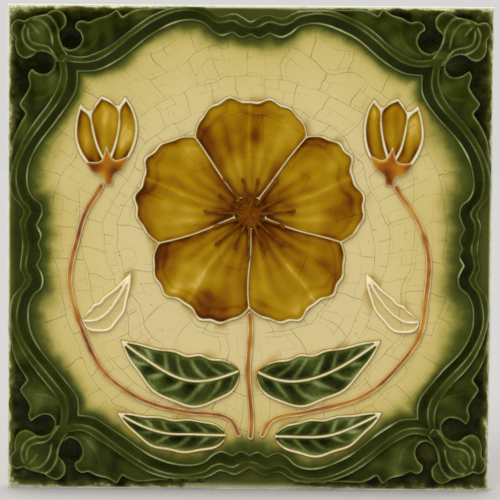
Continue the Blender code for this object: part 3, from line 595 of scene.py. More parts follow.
def ridge(distance, width=CREST_WIDTH):
    """A rounded line's share of its full height at a distance from its crest."""
    return np.exp(-(distance / width) ** 2)


def drained(distance, strength):
    """How much of the glaze has run off a raised line, by the distance from its crest."""
    return (0.52 * ridge(distance, 0.31) + 0.12 * ridge(distance, 0.9)) * strength


def hand_drawn(points):
    """The points of the spray pushed about a little, as on a mould that was carved by hand."""
    moved = np.array(points, float)
    x, z = moved[:, 0].copy(), moved[:, 1].copy()
    moved[:, 0] += 0.34 * np.sin(z / 5.3 + 0.6) + 0.22 * np.sin(x / 7.9 + z / 4.1 + 2.0)
    moved[:, 1] += 0.34 * np.sin(x / 5.7 + 1.9) + 0.22 * np.sin(z / 7.1 - x / 4.6)
    return moved


def hand_cut(points):
    """Where points of the mirrored pattern lie in the hand-cut mould. The glaze's edge stays straight."""
    x, z = points[:, 0], points[:, 1]
    pull, across, up = np.full(len(points), CUT_EASE), np.zeros(len(points)), np.zeros(len(points))
    for place_x, place_z, shift_x, shift_z in HAND_CUT:
        nearness = np.exp(-((x / unit - place_x) ** 2 + (z / unit - place_z) ** 2) / CUT_REACH ** 2)
        pull += nearness
        across += nearness * shift_x
        up += nearness * shift_z
    across = across / pull * unit - PHOTO_TURN * z - PHOTO_TAPER * x * z / half_side
    up = up / pull * unit + PHOTO_TURN * x + PHOTO_TAPER * (half_side - z * z / half_side)
    side_room = 1 - np.exp(-np.maximum(glazed - abs(x), 0) / unit / SIDEWAYS_EASE)
    upright_ease = np.where(up * z < 0, INWARD_EASE, OUTWARD_EASE)
    edge_room = 1 - np.exp(-np.maximum(glazed - abs(z), 0) / unit / upright_ease)
    return np.stack([x + across * side_room, z + up * edge_room], 1)


# Relief surfaces


def scattered(loops, lines, spacing):
    """Points of a relief surface: along its lines, in rows beside them, and evenly over the rest."""
    rows = []
    for line, closed in [(loop, True) for loop in loops] + [(line, False) for line in lines]:
        line = np.asarray([point[:2] for point in line])
        before = np.roll(line, 1, axis=0) if closed else np.concatenate([line[:1], line[:-1]])
        after = np.roll(line, -1, axis=0) if closed else np.concatenate([line[1:], line[-1:]])
        along = after - before
        length = np.maximum(np.hypot(along[:, 0], along[:, 1]), 1e-9)
        across = np.stack([-along[:, 1] / length, along[:, 0] / length], 1)
        for offset in ROWS:
            for side in (-1, 1):
                row = line + across * offset * side
                row = row[inside(row, loops)]
                if len(row):
                    rows.append(row[nearest(row, loops, lines)[0] > 0.9 * offset])
    corners = np.concatenate([np.asarray([point[:2] for point in loop]) for loop in loops])
    low, high = corners.min(0), corners.max(0)
    columns = np.arange(low[0], high[0] + spacing, spacing)
    lifts = np.arange(low[1], high[1] + spacing, spacing * math.sqrt(3) / 2)
    grid = np.array([(x + (k % 2) * spacing / 2, z) for k, z in enumerate(lifts) for x in columns])
    grid = grid[inside(grid, loops)]
    if len(grid):
        grid = grid[nearest(grid, loops, lines)[0] > ROWS[-1] + spacing * 0.45]
    return np.concatenate([*rows, grid])


def triangles(points, loops, lines=()):
    """Triangles between the points that keep to the lines, within the first loop and outside the holes."""
    coordinates, edges = [], []
    for line, closed in [(loop, True) for loop in loops] + [(line, False) for line in lines]:
        first = len(coordinates)
        coordinates += [(float(point[0]), float(point[1])) for point in line]
        edges += [(first + k, first + k + 1) for k in range(len(line) - 1)]
        if closed:
            edges.append((first + len(line) - 1, first))
    coordinates += [(float(x), float(z)) for x, z in points]
    made = delaunay_2d_cdt(coordinates, edges, [], 0, 1e-6)
    corners = np.array([tuple(point) for point in made[0]])
    faces = np.array(made[2])
    middles = corners[faces].mean(1)
    return corners, faces[inside(middles, loops)]


def rim_edges(faces):
    """The edges that only one triangle uses, in that triangle's direction."""
    edges = np.concatenate([faces[:, [0, 1]], faces[:, [1, 2]], faces[:, [2, 0]]])
    keys = np.sort(edges, axis=1)
    _, place, count = np.unique(keys, axis=0, return_index=True, return_counts=True)
    return edges[place[count == 1]]


def relief(name, loops, shape, lines=(), spacing=0.8, base=on_body, drawn=False):
    """A closed piece whose top has the height and glaze that the function shape works out at each point."""
    corners, faces = triangles(scattered(loops, lines, spacing), loops, lines)
    one, two, three = (corners[faces[:, k]] for k in range(3))
    turns = np.cross(two - one, three - one)
    faces = np.where((turns < 0)[:, None], faces[:, ::-1], faces)
    used = np.unique(faces)
    renumbered = np.full(len(corners), -1)
    renumbered[used] = np.arange(len(used))
    corners, faces = corners[used], renumbered[faces]
    heights, glaze = shape(corners)

    edges = rim_edges(faces)
    rim = np.unique(edges)
    low = np.full(len(corners), -1)
    low[rim] = len(corners) + np.arange(len(rim))
    walls = [(b, a, low[a], low[b]) for a, b in edges]
    under = closing_faces(corners, edges, low)
    flat = np.concatenate([corners, corners[rim]])
    levels_above = np.concatenate([heights, np.full(len(rim), base)])
    if drawn:
        flat = hand_drawn(flat)
    flat = hand_cut(flat)

    data = bpy.data.meshes.new(f"{name}_relief")
    places = np.stack([flat[:, 0], -levels_above, flat[:, 1]], 1) * MM
    walls = [[int(k) for k in wall] for wall in walls]
    data.from_pydata(places.tolist(), [], faces.tolist() + walls + under)
    for attribute, values in glaze.items():
        layer = data.attributes.new(attribute, "FLOAT", "POINT")
        layer.data.foreach_set("value", np.concatenate([values, values[rim]]).astype(np.float32))
    data.shade_smooth()
    data.set_sharp_from_angle(angle=math.radians(62))
    piece = bpy.data.objects.new(f"{name}_relief", data)
    bpy.context.scene.collection.objects.link(piece)
    return piece


def closing_faces(corners, edges, low):
    """The underside's triangles, between the walls' lower edges."""
    following = {}
    for a, b in edges:
        following.setdefault(int(a), []).append(int(b))
    loops = []
    while following:
        start = next(iter(following))
        loop = [start]
        while True:
            here = loop[-1]
            nexts = following[here]
            step = nexts.pop()
            if not nexts:
                del following[here]
            if step == start:
                break
            loop.append(step)
        loops.append(loop)
    numbers = [number for loop in loops for number in loop]
    outlines = [corners[loop] for loop in loops]
    coordinates = [(float(x), float(z)) for outline in outlines for x, z in outline]
    links, first = [], 0
    for loop in loops:
        links += [(first + k, first + (k + 1) % len(loop)) for k in range(len(loop))]
        first += len(loop)
    made = delaunay_2d_cdt(coordinates, links, [], 0, 1e-9)
    points = np.array([tuple(point) for point in made[0]])
    origin = [sources[0] for sources in made[3]]
    faces = np.array(made[2])
    kept = faces[inside(points[faces].mean(1), outlines)]
    result = []
    for face in kept:
        one, two, three = points[face]
        turn = np.cross(two - one, three - one)
        ordered = face[::-1] if turn > 0 else face
        result.append([int(low[numbers[origin[k]]]) for k in ordered])
    return result


# The frame

outer_line = frame_loop(OUTER_TOP, OUTER_LEFT)
cove_line = frame_loop(COVE_TOP, COVE_LEFT)
inner_line = frame_loop(INNER_TOP, INNER_LEFT)


def finished(piece, material, slot, *nodes):
    """The piece given its finish and put in the place of its solids."""
    piece.data.materials.append(material)
    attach(piece, "root")
    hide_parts(*(nodes or (piece.name.removesuffix("_relief"),)))


def lay(name, loops, shape, material, slot, **how):
    """A relief surface in the place of the solid of the same name."""
    finished(relief(name, loops, shape, **how), material, slot)


def tip_distance(points):
    """How far the points are from the nearest place where a bud's neck runs into the moulding."""
    return np.hypot(*(abs(points) - np.array(MOULDING_TIP) * unit).T)


def middle_distance(points):
    """How far the points are from the nearer line through the middles of two opposite sides."""
    return np.minimum(abs(points[:, 0]), abs(points[:, 1]))


def fading(points, seed, size=9.0):
    """How strongly a raised line stands out along its way, from weak to full."""
    return np.clip(0.82 + 0.34 * mottle(points, size, seed), 0.35, 1.05)


def moulding_shape(points):
    """A band with a raised line along each edge and a shallow groove between."""
    to_outer = nearest(points, [outer_line])[0]
    to_cove = nearest(points, [cove_line])[0]
    within = inside(points, [outer_line, cove_line])
    broken = 0.6 * ridge(middle_distance(points), 10) * rise(mottle(points, 4, 15), -0.5, 0.7)
    strength = fading(points, 11) * (1 - ridge(tip_distance(points), 3.0)) * (1 - broken)
    groove = MOULDING_CREST - 0.5
    crest = ridge(to_outer) + ridge(to_cove)
    height = groove + (MOULDING_CREST - groove) * np.clip(crest, 0, 1) * strength
    beside = np.minimum(to_outer, to_cove)
    real_outer = hand_cut(np.asarray([point[:2] for point in outer_line]))
    real = np.where(to_outer < to_cove, nearest(hand_cut(points), [real_outer])[0], to_cove)
    fall = np.maximum(real, beside) / CREST_INSET
    foot = np.where(to_outer < to_cove, POOL_FACE, BODY_FACE)
    height = np.where(within, height, np.maximum(height - fall ** 1.5 * 0.85, foot))
    thick = 0.64 - drained(beside, strength) + 0.07 * mottle(points, 6, 12)
    outer_thick = 0.64 - drained(real, strength) + 0.14 * rise(real, 0.25, CREST_INSET)
    to_rim = glazed - abs(hand_cut(points)).max(1)
    outer_thick -= (0.34 + 0.16 * ridge(to_rim, 1.0)) * rise(real, 0.6, 1.2)
    thick = np.where(within, thick, outer_thick)
    return np.minimum(height, MOULDING_CREST - 0.01), {"glaze": np.clip(thick, 0, 1)}


def cove_shape(points):
    """A deep hollow band that rises to the moulding on one side and to the thin inner line on the other."""
    to_cove = nearest(points, [cove_line])[0]
    to_inner = nearest(points, [inner_line])[0]
    floor = POOL_FACE - 0.1
    height = floor + (MOULDING_CREST - 0.75 - floor) * ridge(to_cove, 1.15) + 0.35 * ridge(to_inner, 0.9)
    thick = 0.71 - 0.12 * ridge(to_cove, 0.5) - 0.1 * ridge(to_inner, 0.8) + 0.05 * mottle(points, 8, 13)
    thick += 0.1 * rise(points[:, 0] / half_side, 0.4, 0.9)
    return height, {"glaze": np.clip(thick, 0, 1)}


def inner_line_strength(points):
    """The thin line is full along the curves and breaks up at the middles of the sides."""
    hooks = (1.4 - 1.5 * mottle(points, 2.6, 16)) * ridge(middle_distance(points), 9)
    return rise(mottle(points, 7, 14) - hooks, -1.1, 1.3)


def inner_line_shape(points):
    to_line = nearest(points, [inner_line])[0]
    strength = inner_line_strength(points)
    section = np.sqrt(np.clip(1 - (to_line / 0.48) ** 2, 0, 1))
    height = POOL_FACE + 0.1 + (LINE_CREST - POOL_FACE - 0.1) * section * (0.4 + 0.6 * strength)
    thick = 0.5 - 0.42 * strength + 0.6 * rise(to_line, 0.08, 0.4)
    return height, {"glaze": np.clip(thick, 0, 1)}


def make_frame():
    foot, flank = (np.clip(grown(outer_line, distance), 0.04 - glazed, glazed - 0.04).tolist()
                   for distance in (CREST_INSET, 0.1))
    lay("frame_moulding", [foot, grown(cove_line, -CREST_INSET)], moulding_shape, green_glaze, "green_glaze",
        lines=[line + line[:1] for line in (outer_line, flank, cove_line)])
    lay("cove_glaze", [cove_line, inner_line], cove_shape, green_glaze, "deep_green_glaze", spacing=0.6)
    edges = [grown(inner_line, INNER_LINE_WIDTH / 2), grown(inner_line, -INNER_LINE_WIDTH / 2)]
    lay("inner_line", edges, inner_line_shape, line_glaze, "thin_glaze", lines=[inner_line + inner_line[:1]])


# Corner ornaments and the dark ground behind them


def corner_leaf_shape(edge, vein, across, up):
    """A leaf with a raised rim along its free edge, swelling towards the moulding."""
    edge_line = open_line(on_face(flipped(edge, across, up)))
    vein_line = open_line(on_face(flipped(vein, across, up)))
    outline = leaf_outline(edge, across, up)
    seed = 20 + 3 * across + 7 * up

    def shape(points):
        to_edge = nearest(points, lines=[edge_line])[0]
        to_moulding = nearest(points, [outer_line])[0]
        to_vein = nearest(points, lines=[vein_line])[0]
        within = inside(points, [outline])
        outside = nearest(points, [outline])[0]
        strength = fading(points, seed)
        swell = 0.5 * rise(to_edge, 0.3, 5.0) + 0.06 * mottle(points, 7, seed)
        level = ORNAMENT_CREST - 0.85 + swell - 0.2 * ridge(to_moulding - CREST_INSET, 0.7)
        height = level + 0.42 * ridge(to_edge) * strength + 0.14 * ridge(to_vein, 0.3)
        height = np.where(within, height, height - (outside / CREST_INSET) ** 1.5 * 0.8)
        thick = 0.58 - drained(to_edge, strength) - 0.16 * ridge(to_vein, 0.4)
        thick += 0.1 * ridge(to_edge - 0.9, 0.6) + 0.1 * ridge(to_moulding - 0.8, 0.7)
        thick += 0.14 * mottle(points, 9, seed) + 0.07 * mottle(points, 3, seed + 1)
        thick = np.where(within, thick, thick + 0.16 * rise(outside, 0.25, CREST_INSET))
        return np.minimum(height, ORNAMENT_CREST), {"glaze": np.clip(thick, 0, 1)}

    return shape, [edge_line, vein_line]


def leaf_outline(edge, across, up):
    """A corner leaf's outline: its free edge, and back along the moulding."""
    moulding = OUTER_TOP if edge is TOP_ACANTHUS_EDGE else OUTER_LEFT
    back = [point[:2] for point in moulding[1:LOBE_POINT]][::-1]
    points = edge + [(*back[0], SHARP), *back[1:-1], (*back[-1], SHARP)]
    return smooth_loop(on_face(flipped(points, across, up)))


def corner_bud_shape(across, up):
    """A round bud held by two lobes, all edged and folded in thin raised lines."""
    outline = smooth_loop(on_face(flipped(CORNER_BUD, across, up)))
    folds = [open_line(on_face(flipped(line, across, up))) for line in BUD_LINES]
    middle = np.array([-84.6 * across, 88.4 * up]) * unit
    seed = 40 + 3 * across + 7 * up

    def shape(points):
        to_edge = nearest(points, [outline])[0]
        to_fold = nearest(points, lines=folds)[0]
        within = inside(points, [outline])
        from_middle = np.hypot(*(points - middle).T)
        strength = fading(points, seed, 6)
        level = ORNAMENT_CREST - 0.8 + 0.38 * ridge(from_middle, 5.2) + 0.05 * mottle(points, 5, seed)
        level += 0.45 * ridge(tip_distance(points), 2.2)
        height = level + 0.36 * np.maximum(ridge(to_edge), ridge(to_fold)) * strength
        height = np.where(within, height, height - (to_edge / CREST_INSET) ** 1.5 * 0.8)
        thick = 0.6 - drained(np.minimum(to_edge, to_fold), strength) + 0.1 * ridge(to_fold - 0.85, 0.5)
        thick += 0.14 * mottle(points, 6, seed) + 0.06 * mottle(points, 2.5, seed + 1)
        thick = np.where(within, thick, thick + 0.16 * rise(to_edge, 0.25, CREST_INSET))
        return np.minimum(height, ORNAMENT_CREST), {"glaze": np.clip(thick, 0, 1)}

    return shape, outline, folds


def ground_outlines():
    """The ground's eight pools, which meet where the moulding comes closest to the tile's edge."""
    rim = glazed / unit
    top, left = OUTER_TOP[LOBE_POINT], OUTER_LEFT[LOBE_POINT]
    corner = [(-rim, rim, SHARP), (top[0], rim, SHARP), (*top, SHARP), *OUTER_TOP[LOBE_POINT - 1::-1],
              *OUTER_LEFT[:LOBE_POINT], (*left, SHARP), (-rim, left[1], SHARP)]
    top_half = OUTER_TOP[LOBE_POINT:]
    top_middle = [(top_half[0][0], rim, SHARP), (*top_half[0][:2], SHARP), *top_half[1:],
                  *flipped(top_half[-2:0:-1], across=-1), (-top_half[0][0], top_half[0][1], SHARP),
                  (-top_half[0][0], rim, SHARP)]
    left_half = OUTER_LEFT[LOBE_POINT:]
    left_middle = [(-rim, left_half[0][1], SHARP), (*left_half[0][:2], SHARP), *left_half[1:],
                   *flipped(left_half[-2:0:-1], up=-1), (left_half[0][0], -left_half[0][1], SHARP),
                   (-rim, -left_half[0][1], SHARP)]
    return {
        "top_left": corner,
        "top_right": flipped(corner, across=-1),
        "bottom_left": flipped(corner, up=-1),
        "bottom_right": flipped(corner, across=-1, up=-1),
        "top_middle": top_middle,
        "bottom_middle": flipped(top_middle, up=-1),
        "left_middle": left_middle,
        "right_middle": flipped(left_middle, across=-1),
    }


def edge_knobs():
    """Middles, radii and strengths of the knobs pressed along the tile's edge, in two uneven rows."""
    draw = random.Random(5)
    knobs = []
    count = int(2 * glazed / BLOB_PITCH)
    for row, (inset, share, size) in enumerate(((1.0, 0.85, 1.0), (2.5, 0.45, 0.75))):
        for side in range(4):
            turn = math.radians(90 * side)
            for k in range(count):
                if draw.random() > share:
                    continue
                along = (k + 0.5 + 0.5 * row + draw.uniform(-0.4, 0.4)) * 2 * glazed / count - glazed
                away = glazed - inset - draw.uniform(-0.4, 0.5)
                radius = BLOB_RADIUS * size * draw.uniform(0.6, 1.3)
                x = along * math.cos(turn) - away * math.sin(turn)
                z = along * math.sin(turn) + away * math.cos(turn)
                knobs.append((x, z, radius, draw.uniform(0.15, 1.0)))
    return np.array(knobs)


def ornament_edges():
    """Outlines of everything that stands on the ground in the four corners."""
    loops = []
    for up, across, _, _ in CORNERS:
        loops.append(smooth_loop(on_face(flipped(CORNER_BUD, across, up))))
        loops += [leaf_outline(edge, across, up) for edge in (TOP_ACANTHUS_EDGE, LEFT_ACANTHUS_EDGE)]
    return loops


def make_corners():
    for up, across, row, column in CORNERS:
        for name, edge, vein in (("acanthus_level", TOP_ACANTHUS_EDGE, TOP_LEAF_VEIN),
                                 ("acanthus_upright", LEFT_ACANTHUS_EDGE, LEFT_LEAF_VEIN)):
            shape, lines = corner_leaf_shape(edge, vein, across, up)
            outline = grown(leaf_outline(edge, across, up), CREST_INSET)
            lay(f"{name}_{row}_{column}", [outline], shape, green_glaze, "green_glaze", lines=lines,
                spacing=0.7)
        shape, outline, folds = corner_bud_shape(across, up)
        lay(f"corner_bud_{row}_{column}", [grown(outline, CREST_INSET)], shape, green_glaze, "green_glaze",
            lines=[outline + outline[:1], *folds], spacing=0.6)


def ground_shape():
    """The ground: mottled and knobbed along the edge in the corners, calm at the sides' middles."""
    knobs = edge_knobs()
    edges = ornament_edges()
    eyes = np.array([(x * across * unit, z * up * unit) for up, across, _, _ in CORNERS for x, z in EYES])

    def shape(points):
        real = hand_cut(points)
        to_rim = glazed - abs(real).max(1)
        to_knobs = np.hypot(real[:, 0:1] - knobs[:, 0], real[:, 1:2] - knobs[:, 1])
        middle = 1 - rise(middle_distance(real), 19.0, 22.0)
        knob = (np.exp(-(to_knobs / knobs[:, 2]) ** 2) * knobs[:, 3]).max(1) * (1 - middle)
        to_eye = np.hypot(points[:, 0:1] - eyes[:, 0], points[:, 1:2] - eyes[:, 1]).min(1)
        near_ornament = nearest(points, edges)[0]
        near_tip = ridge(tip_distance(points), 3.0)
        hollow = rise(EYE_RADIUS - to_eye, -0.6, 1.6)
        height = POOL_FACE - 0.1 + 0.3 * knob - 0.28 * hollow + 0.05 * mottle(points, 3.4, 31)
        height += 0.2 * ridge(nearest(points, [outer_line])[0], 0.9) + 0.12 * ridge(near_ornament, 0.8)
        height = np.maximum(height - 0.35 * ridge(to_rim, 0.35), BODY_FACE + 0.12)
        thick = 0.36 + 0.48 * rise(to_rim + 0.5 * mottle(points, 5, 34), 0.2, 2.6)
        thick -= 0.22 * ridge(np.hypot(*(glazed - abs(real)).T), 5.5)
        thick += 0.16 * mottle(points, 3.2, 32) * ridge(to_rim, 5) + 0.08 * mottle(points, 7, 35)
        lighter_eyes = 0.3 * rise(points[:, 0] - points[:, 1], 95, 125)
        thick += (0.18 + 0.16 * mottle(points, 11, 37) - lighter_eyes) * hollow
        thick += 0.12 * ridge(near_ornament, 0.9) - 0.4 * knob * (0.7 + 0.3 * mottle(points, 9, 33))
        calm = 0.4 + 0.05 * mottle(points, 12, 38)
        calm += 0.2 * rise(-real[:, 0], 60, 72) * rise(to_rim, 0.8, 2.4)
        calm -= 0.06 * rise(-real[:, 1], 60, 72) * ridge(to_rim, 1.6)
        thick = thick + (calm - thick) * middle
        thick = np.clip(thick + (0.52 - thick) * near_tip, 0.12, 1)
        thick = thick * rise(to_rim + 0.3 * mottle(points, 2.6, 36) * (1 - middle), -0.1, 0.8)
        return height + 0.6 * near_tip, {"glaze": np.clip(thick, 0, 1), "grain": 1 - 0.8 * middle}

    return shape


def make_grounds():
    shape = ground_shape()
    for place, points in ground_outlines().items():
        lay(f"ground_glaze_{place}", [smooth_loop(on_face(points))], shape, ground_glaze, "deep_green_glaze",
            spacing=0.5)


# The cream field


def spray_outlines():
    """Outer edges of the spray's pieces that lie on the field, as the hand-carved mould has them."""
    loops = [bloom_loop()]
    base = bud_base()
    for across in (-1, 1):
        loops.append(bud_loop(BUD_OUTLINE, base, across))
        loops += [leaf_edge(places) for _, places, _ in leaf_plan(across)]
    return [hand_drawn(loop) for loop in loops]


# Where the green runs further into the cream: place and size in shares of half the side, and the extra reach
BLEEDS = [(0.90, 0.30, 0.19, 4.2), (0.25, 0.93, 0.12, 1.2), (0.0, 0.88, 0.10, 4.0), (0.87, 0.0, 0.12, 2.0)]


def bleed_reach(points):
    """How far the frame's green runs into the cream, in millimetres."""
    x, z = abs(points[:, 0]) / half_side, abs(points[:, 1]) / half_side
    reach_in = 3.3 + 0.8 * mottle(points, 12, 51)
    for across, up, size, more in BLEEDS:
        nearness = ridge(np.hypot(x - across, z - up), size)
        reach_in += more * nearness * (1 + 0.6 * rise(points[:, 0], 30, 70))
    reach_in += 1.2 * rise(-points[:, 1], 30, 60)
    return np.clip(reach_in, 1.8, 12)


def field_shape(points):
    """A flat pool that creeps up the raised lines round it."""
    to_line, way = nearest(points, [inner_line])
    to_spray = nearest(points, spray_outlines())[0]
    height = POOL_FACE + 0.16 * np.exp(-to_line / 0.9) + 0.14 * np.exp(-to_spray / 0.8)
    height += 0.03 * mottle(points, 14, 52) + 0.012 * mottle(points, 4, 53)
    stain = ridge(to_spray, 1.5) * rise(mottle(points, 5.5, 54), 0.15, 1.1)
    return height, {"line_distance": to_line, "line_way": way, "bleed_reach": bleed_reach(points),
                    "stain": stain}


def make_field():
    lay("field_glaze", [inner_line], field_shape, cream_glaze, "cream_glaze", spacing=0.85)


# The spray


def lay_spray(name, loops, shape, material, slot, spacing=0.5, base=on_pool):
    """A piece of the spray, its outline drawn by hand."""
    lay(name, loops, shape, material, slot, spacing=spacing, base=base, drawn=True)


def half_round(distance, half_width):
    """Height share of a line with a round section at a distance inwards from its edge."""
    share = np.clip(distance / half_width, 0, 1)
    return np.sqrt(1 - (1 - share) ** 2)


def slip_shape(loops, seed):
    """Raised lines of pale slip between the given edges."""

    def shape(points):
        from_edge = nearest(points, loops)[0]
        crest = half_round(from_edge, OUTLINE_WIDTH / 2)
        lift = SLIP_CREST - TINT_FACE + 0.5 + 0.08 * mottle(points, 5, seed)
        height = SLIP_CREST - lift + (lift - 0.02) * crest
        tint = np.clip(0.25 + 0.3 * mottle(points, 8, seed + 1), 0, 1)
        return np.minimum(height, SLIP_CREST + 0.1), {"crest": crest, "stain": tint}

    return shape


def petal_shape(petal_angle, loop, seed):
    """A broad petal: domed, pleated from its throat, turned up in a lip near its ruffled edge."""
    throat = SEED_RADIUS + OUTLINE_WIDTH

    def shape(points):
        x, z = points[:, 0] - BLOOM_CENTRE[0] * unit, points[:, 1] - BLOOM_CENTRE[1] * unit
        radius = np.hypot(x, z)
        angle = (np.degrees(np.arctan2(z, x)) - 90 - petal_angle + 180) % 360 - 180
        turn = angle / (180 / PETAL_COUNT)
        outer = bloom_edge(angle)
        share = np.clip((radius - throat) / (outer - throat), 0, 1)
        from_edge = nearest(points, [loop])[0]
        sway = 0.5 * mottle(points, 16, seed)
        pleats = np.cos(math.pi * 6.2 * turn + sway * 1.4) * np.sin(math.pi * share ** 0.8) ** 1.2
        lip_width = 3.4 + 1.3 * mottle(points, 9, seed + 1)
        lip = rise(outer - radius, lip_width - 0.7, lip_width + 0.9)
        sideways = turn * radius * math.pi / PETAL_COUNT
        fold = ridge(sideways + sway * 1.6 * share, 0.55) * rise(share, 0.28, 0.5)
        dome = (1 - turn ** 2) * np.sin(math.pi * share ** 0.75)
        height = RELIEF_BASE + 0.05 + 0.3 * dome + 0.08 * pleats + 0.1 * (1 - lip) + 0.07 * fold
        height -= 0.12 * ridge(from_edge, 0.5)
        pool = 0.4 + 0.42 * np.exp(-(radius - throat) / 6.5) + 0.24 * ridge(from_edge - 0.25, 0.75)
        pool += -0.11 * pleats * (1 - 0.4 * share) + 0.17 * mottle(points, 11, seed + 2) * (0.6 + share)
        pool += 0.16 * ridge(outer - radius - lip_width - 0.6, 0.9) - 0.2 * fold
        pool += 0.07 * mottle(points, 3.5, seed + 3)
        pool += 0.3 * rise(mottle(points, 10, seed + 4), 0.55, 1.5) * rise(share, 0.25, 0.7)
        return height, {"pool": np.clip(pool, 0, 1)}

    return shape


def make_bloom():
    angles = [k * 360 / PETAL_COUNT for k in range(PETAL_COUNT)]
    holes = [petal_loop(angle) for angle in angles]
    loops = [bloom_loop(), disc_loop(SEED_RADIUS), *holes]
    lay_spray("bloom_outline", loops, slip_shape(loops, 61), slip_line, "slip_line")
    for number, (angle, hole) in enumerate(zip(angles, holes), 1):
        shape = petal_shape(angle, hole, 70 + 9 * number)
        lay_spray(f"bloom_petal_{number}", [grown(hole, LIP)], shape, amber_glaze, "amber_glaze", spacing=0.6)
    seed_loop = disc_loop(SEED_RADIUS + LIP)

    def seed_shape(points):
        from_edge = nearest(points, [seed_loop])[0]
        return RELIEF_BASE + 0.1 + 0.35 * rise(from_edge, 0, 3), {"pool": np.full(len(points), 0.9)}

    lay_spray("bloom_seed_pool", [seed_loop], seed_shape, brown_glaze, "brown_glaze", spacing=0.6)


def bud_petal_shape(loop, base, across, seed):
    """A cupped bud petal, darkest at its foot and along its edges."""
    tilt = math.radians(BUD_TILT)

    def shape(points):
        x = points[:, 0] * across - base[0]
        z = points[:, 1] - base[1]
        up = (x * math.sin(tilt) + z * math.cos(tilt)) / BUD_HEIGHT
        sideways = (x * math.cos(tilt) - z * math.sin(tilt)) / BUD_WIDTH
        from_edge = nearest(points, [loop])[0]
        pleats = np.cos(sideways * 34 + up * 3 + seed)
        height = RELIEF_BASE + 0.02 + 0.32 * rise(from_edge, 0, 2.4)
        height += 0.05 * pleats * rise(from_edge, 0.3, 1.4)
        pool = 0.26 + 0.5 * rise(0.45 - up, 0, 0.4) + 0.28 * ridge(from_edge - 0.2, 0.7) - 0.1 * pleats
        pool += 0.22 * mottle(points, 8, seed) + 0.25 * rise(up, 0.72, 0.95) * ridge(from_edge, 1.6)
        return height, {"pool": np.clip(pool, 0, 1)}

    return shape


def calyx_shape(loop, seed):
    """A fleshy calyx with a rounded rim, over the foot of its bud."""

    def shape(points):
        from_edge = nearest(points, [loop])[0]
        swell = half_round(from_edge, 1.5)
        height = TINT_FACE + (TRIM_CREST - TINT_FACE - 0.15) * swell
        pool = 0.75 - 0.35 * ridge(from_edge - 0.5, 0.4) + 0.25 * mottle(points, 4, seed)
        return height, {"pool": np.clip(pool, 0, 1), "slip": ridge(from_edge, 0.25)}

    return shape


def make_buds():
    base = bud_base()
    for across, hand in ((-1, "left"), (1, "right")):
        holes = {part: bud_loop(points, base, across) for part, points in BUD_POOLS.items()}
        loops = [bud_loop(BUD_OUTLINE, base, across), *holes.values()]
        lay_spray(f"bud_{hand}_outline", loops, slip_shape(loops, 130 + across), slip_line, "slip_line")
        for number, (part, hole) in enumerate(holes.items()):
            shape = bud_petal_shape(hole, base, across, 140 + 3 * number + across)
            lay_spray(f"bud_{hand}_petal_{part}", [grown(hole, LIP)], shape, amber_glaze, "amber_glaze",
                      spacing=0.55)
        calyx = bud_loop(CALYX, base, across)
        lay_spray(f"bud_{hand}_calyx", [calyx], calyx_shape(calyx, 150 + across), stem_glaze, "stem_glaze",
                  spacing=0.4, base=RELIEF_BASE)


def stem_shape(loop, seed):
    """A stem of amber glaze held between two thin lines of slip."""

    def shape(points):
        from_edge = nearest(points, [loop])[0]
        wall = ridge(from_edge - 0.3, 0.24)
        height = POOL_FACE + 0.25 + 0.42 * wall + 0.3 * half_round(from_edge, STEM_WIDTH / 2)
        height += 0.03 * mottle(points, 4, seed)
        pool = 0.5 + 0.25 * mottle(points, 9, seed) + 0.12 * mottle(points, 2.5, seed + 1)
        slip = np.clip(ridge(from_edge - 0.22, 0.2) * (0.85 + 0.3 * mottle(points, 3.5, seed + 2)), 0, 1)
        return height, {"pool": np.clip(pool, 0, 1), "slip": slip}

    return shape


def make_stems():
    bloom_foot = bloom_point(bloom_edge(180) + STEM_CLEARANCE * 0.4, 180)
    routes = {"stem_centre": on_face(CENTRE_STEM) + [bloom_foot]}
    base = bud_base()
    stem_end = (base[0] + SIDE_STEM_END[0], base[1] + SIDE_STEM_END[1])
    for across, hand in ((-1, "left"), (1, "right")):
        routes[f"stem_{hand}"] = flipped(on_face(SIDE_STEM) + [stem_end], across)
    for number, (name, route) in enumerate(routes.items()):
        loop = strip(route, STEM_WIDTH)
        lay_spray(name, [loop], stem_shape(loop, 160 + 5 * number), stem_glaze, "stem_glaze", spacing=0.4)


def leaf_plan(across):
    """Each leaf on one side: its kind, its places from base to tip, and its width."""
    pale_tip = bloom_point(BLOOM_RADIUS + PALE_LEAF_CLEARANCE, PALE_LEAF_BEARING - 90)
    kinds = (("upper", on_face(UPPER_LEAF), UPPER_LEAF_WIDTH),
             ("lower", on_face(LOWER_LEAF), LOWER_LEAF_WIDTH),
             ("pale", on_face(PALE_LEAF) + [pale_tip], PALE_LEAF_WIDTH))
    return [(kind, leaf_sides(flipped(route, across), width), width) for kind, route, width in kinds]


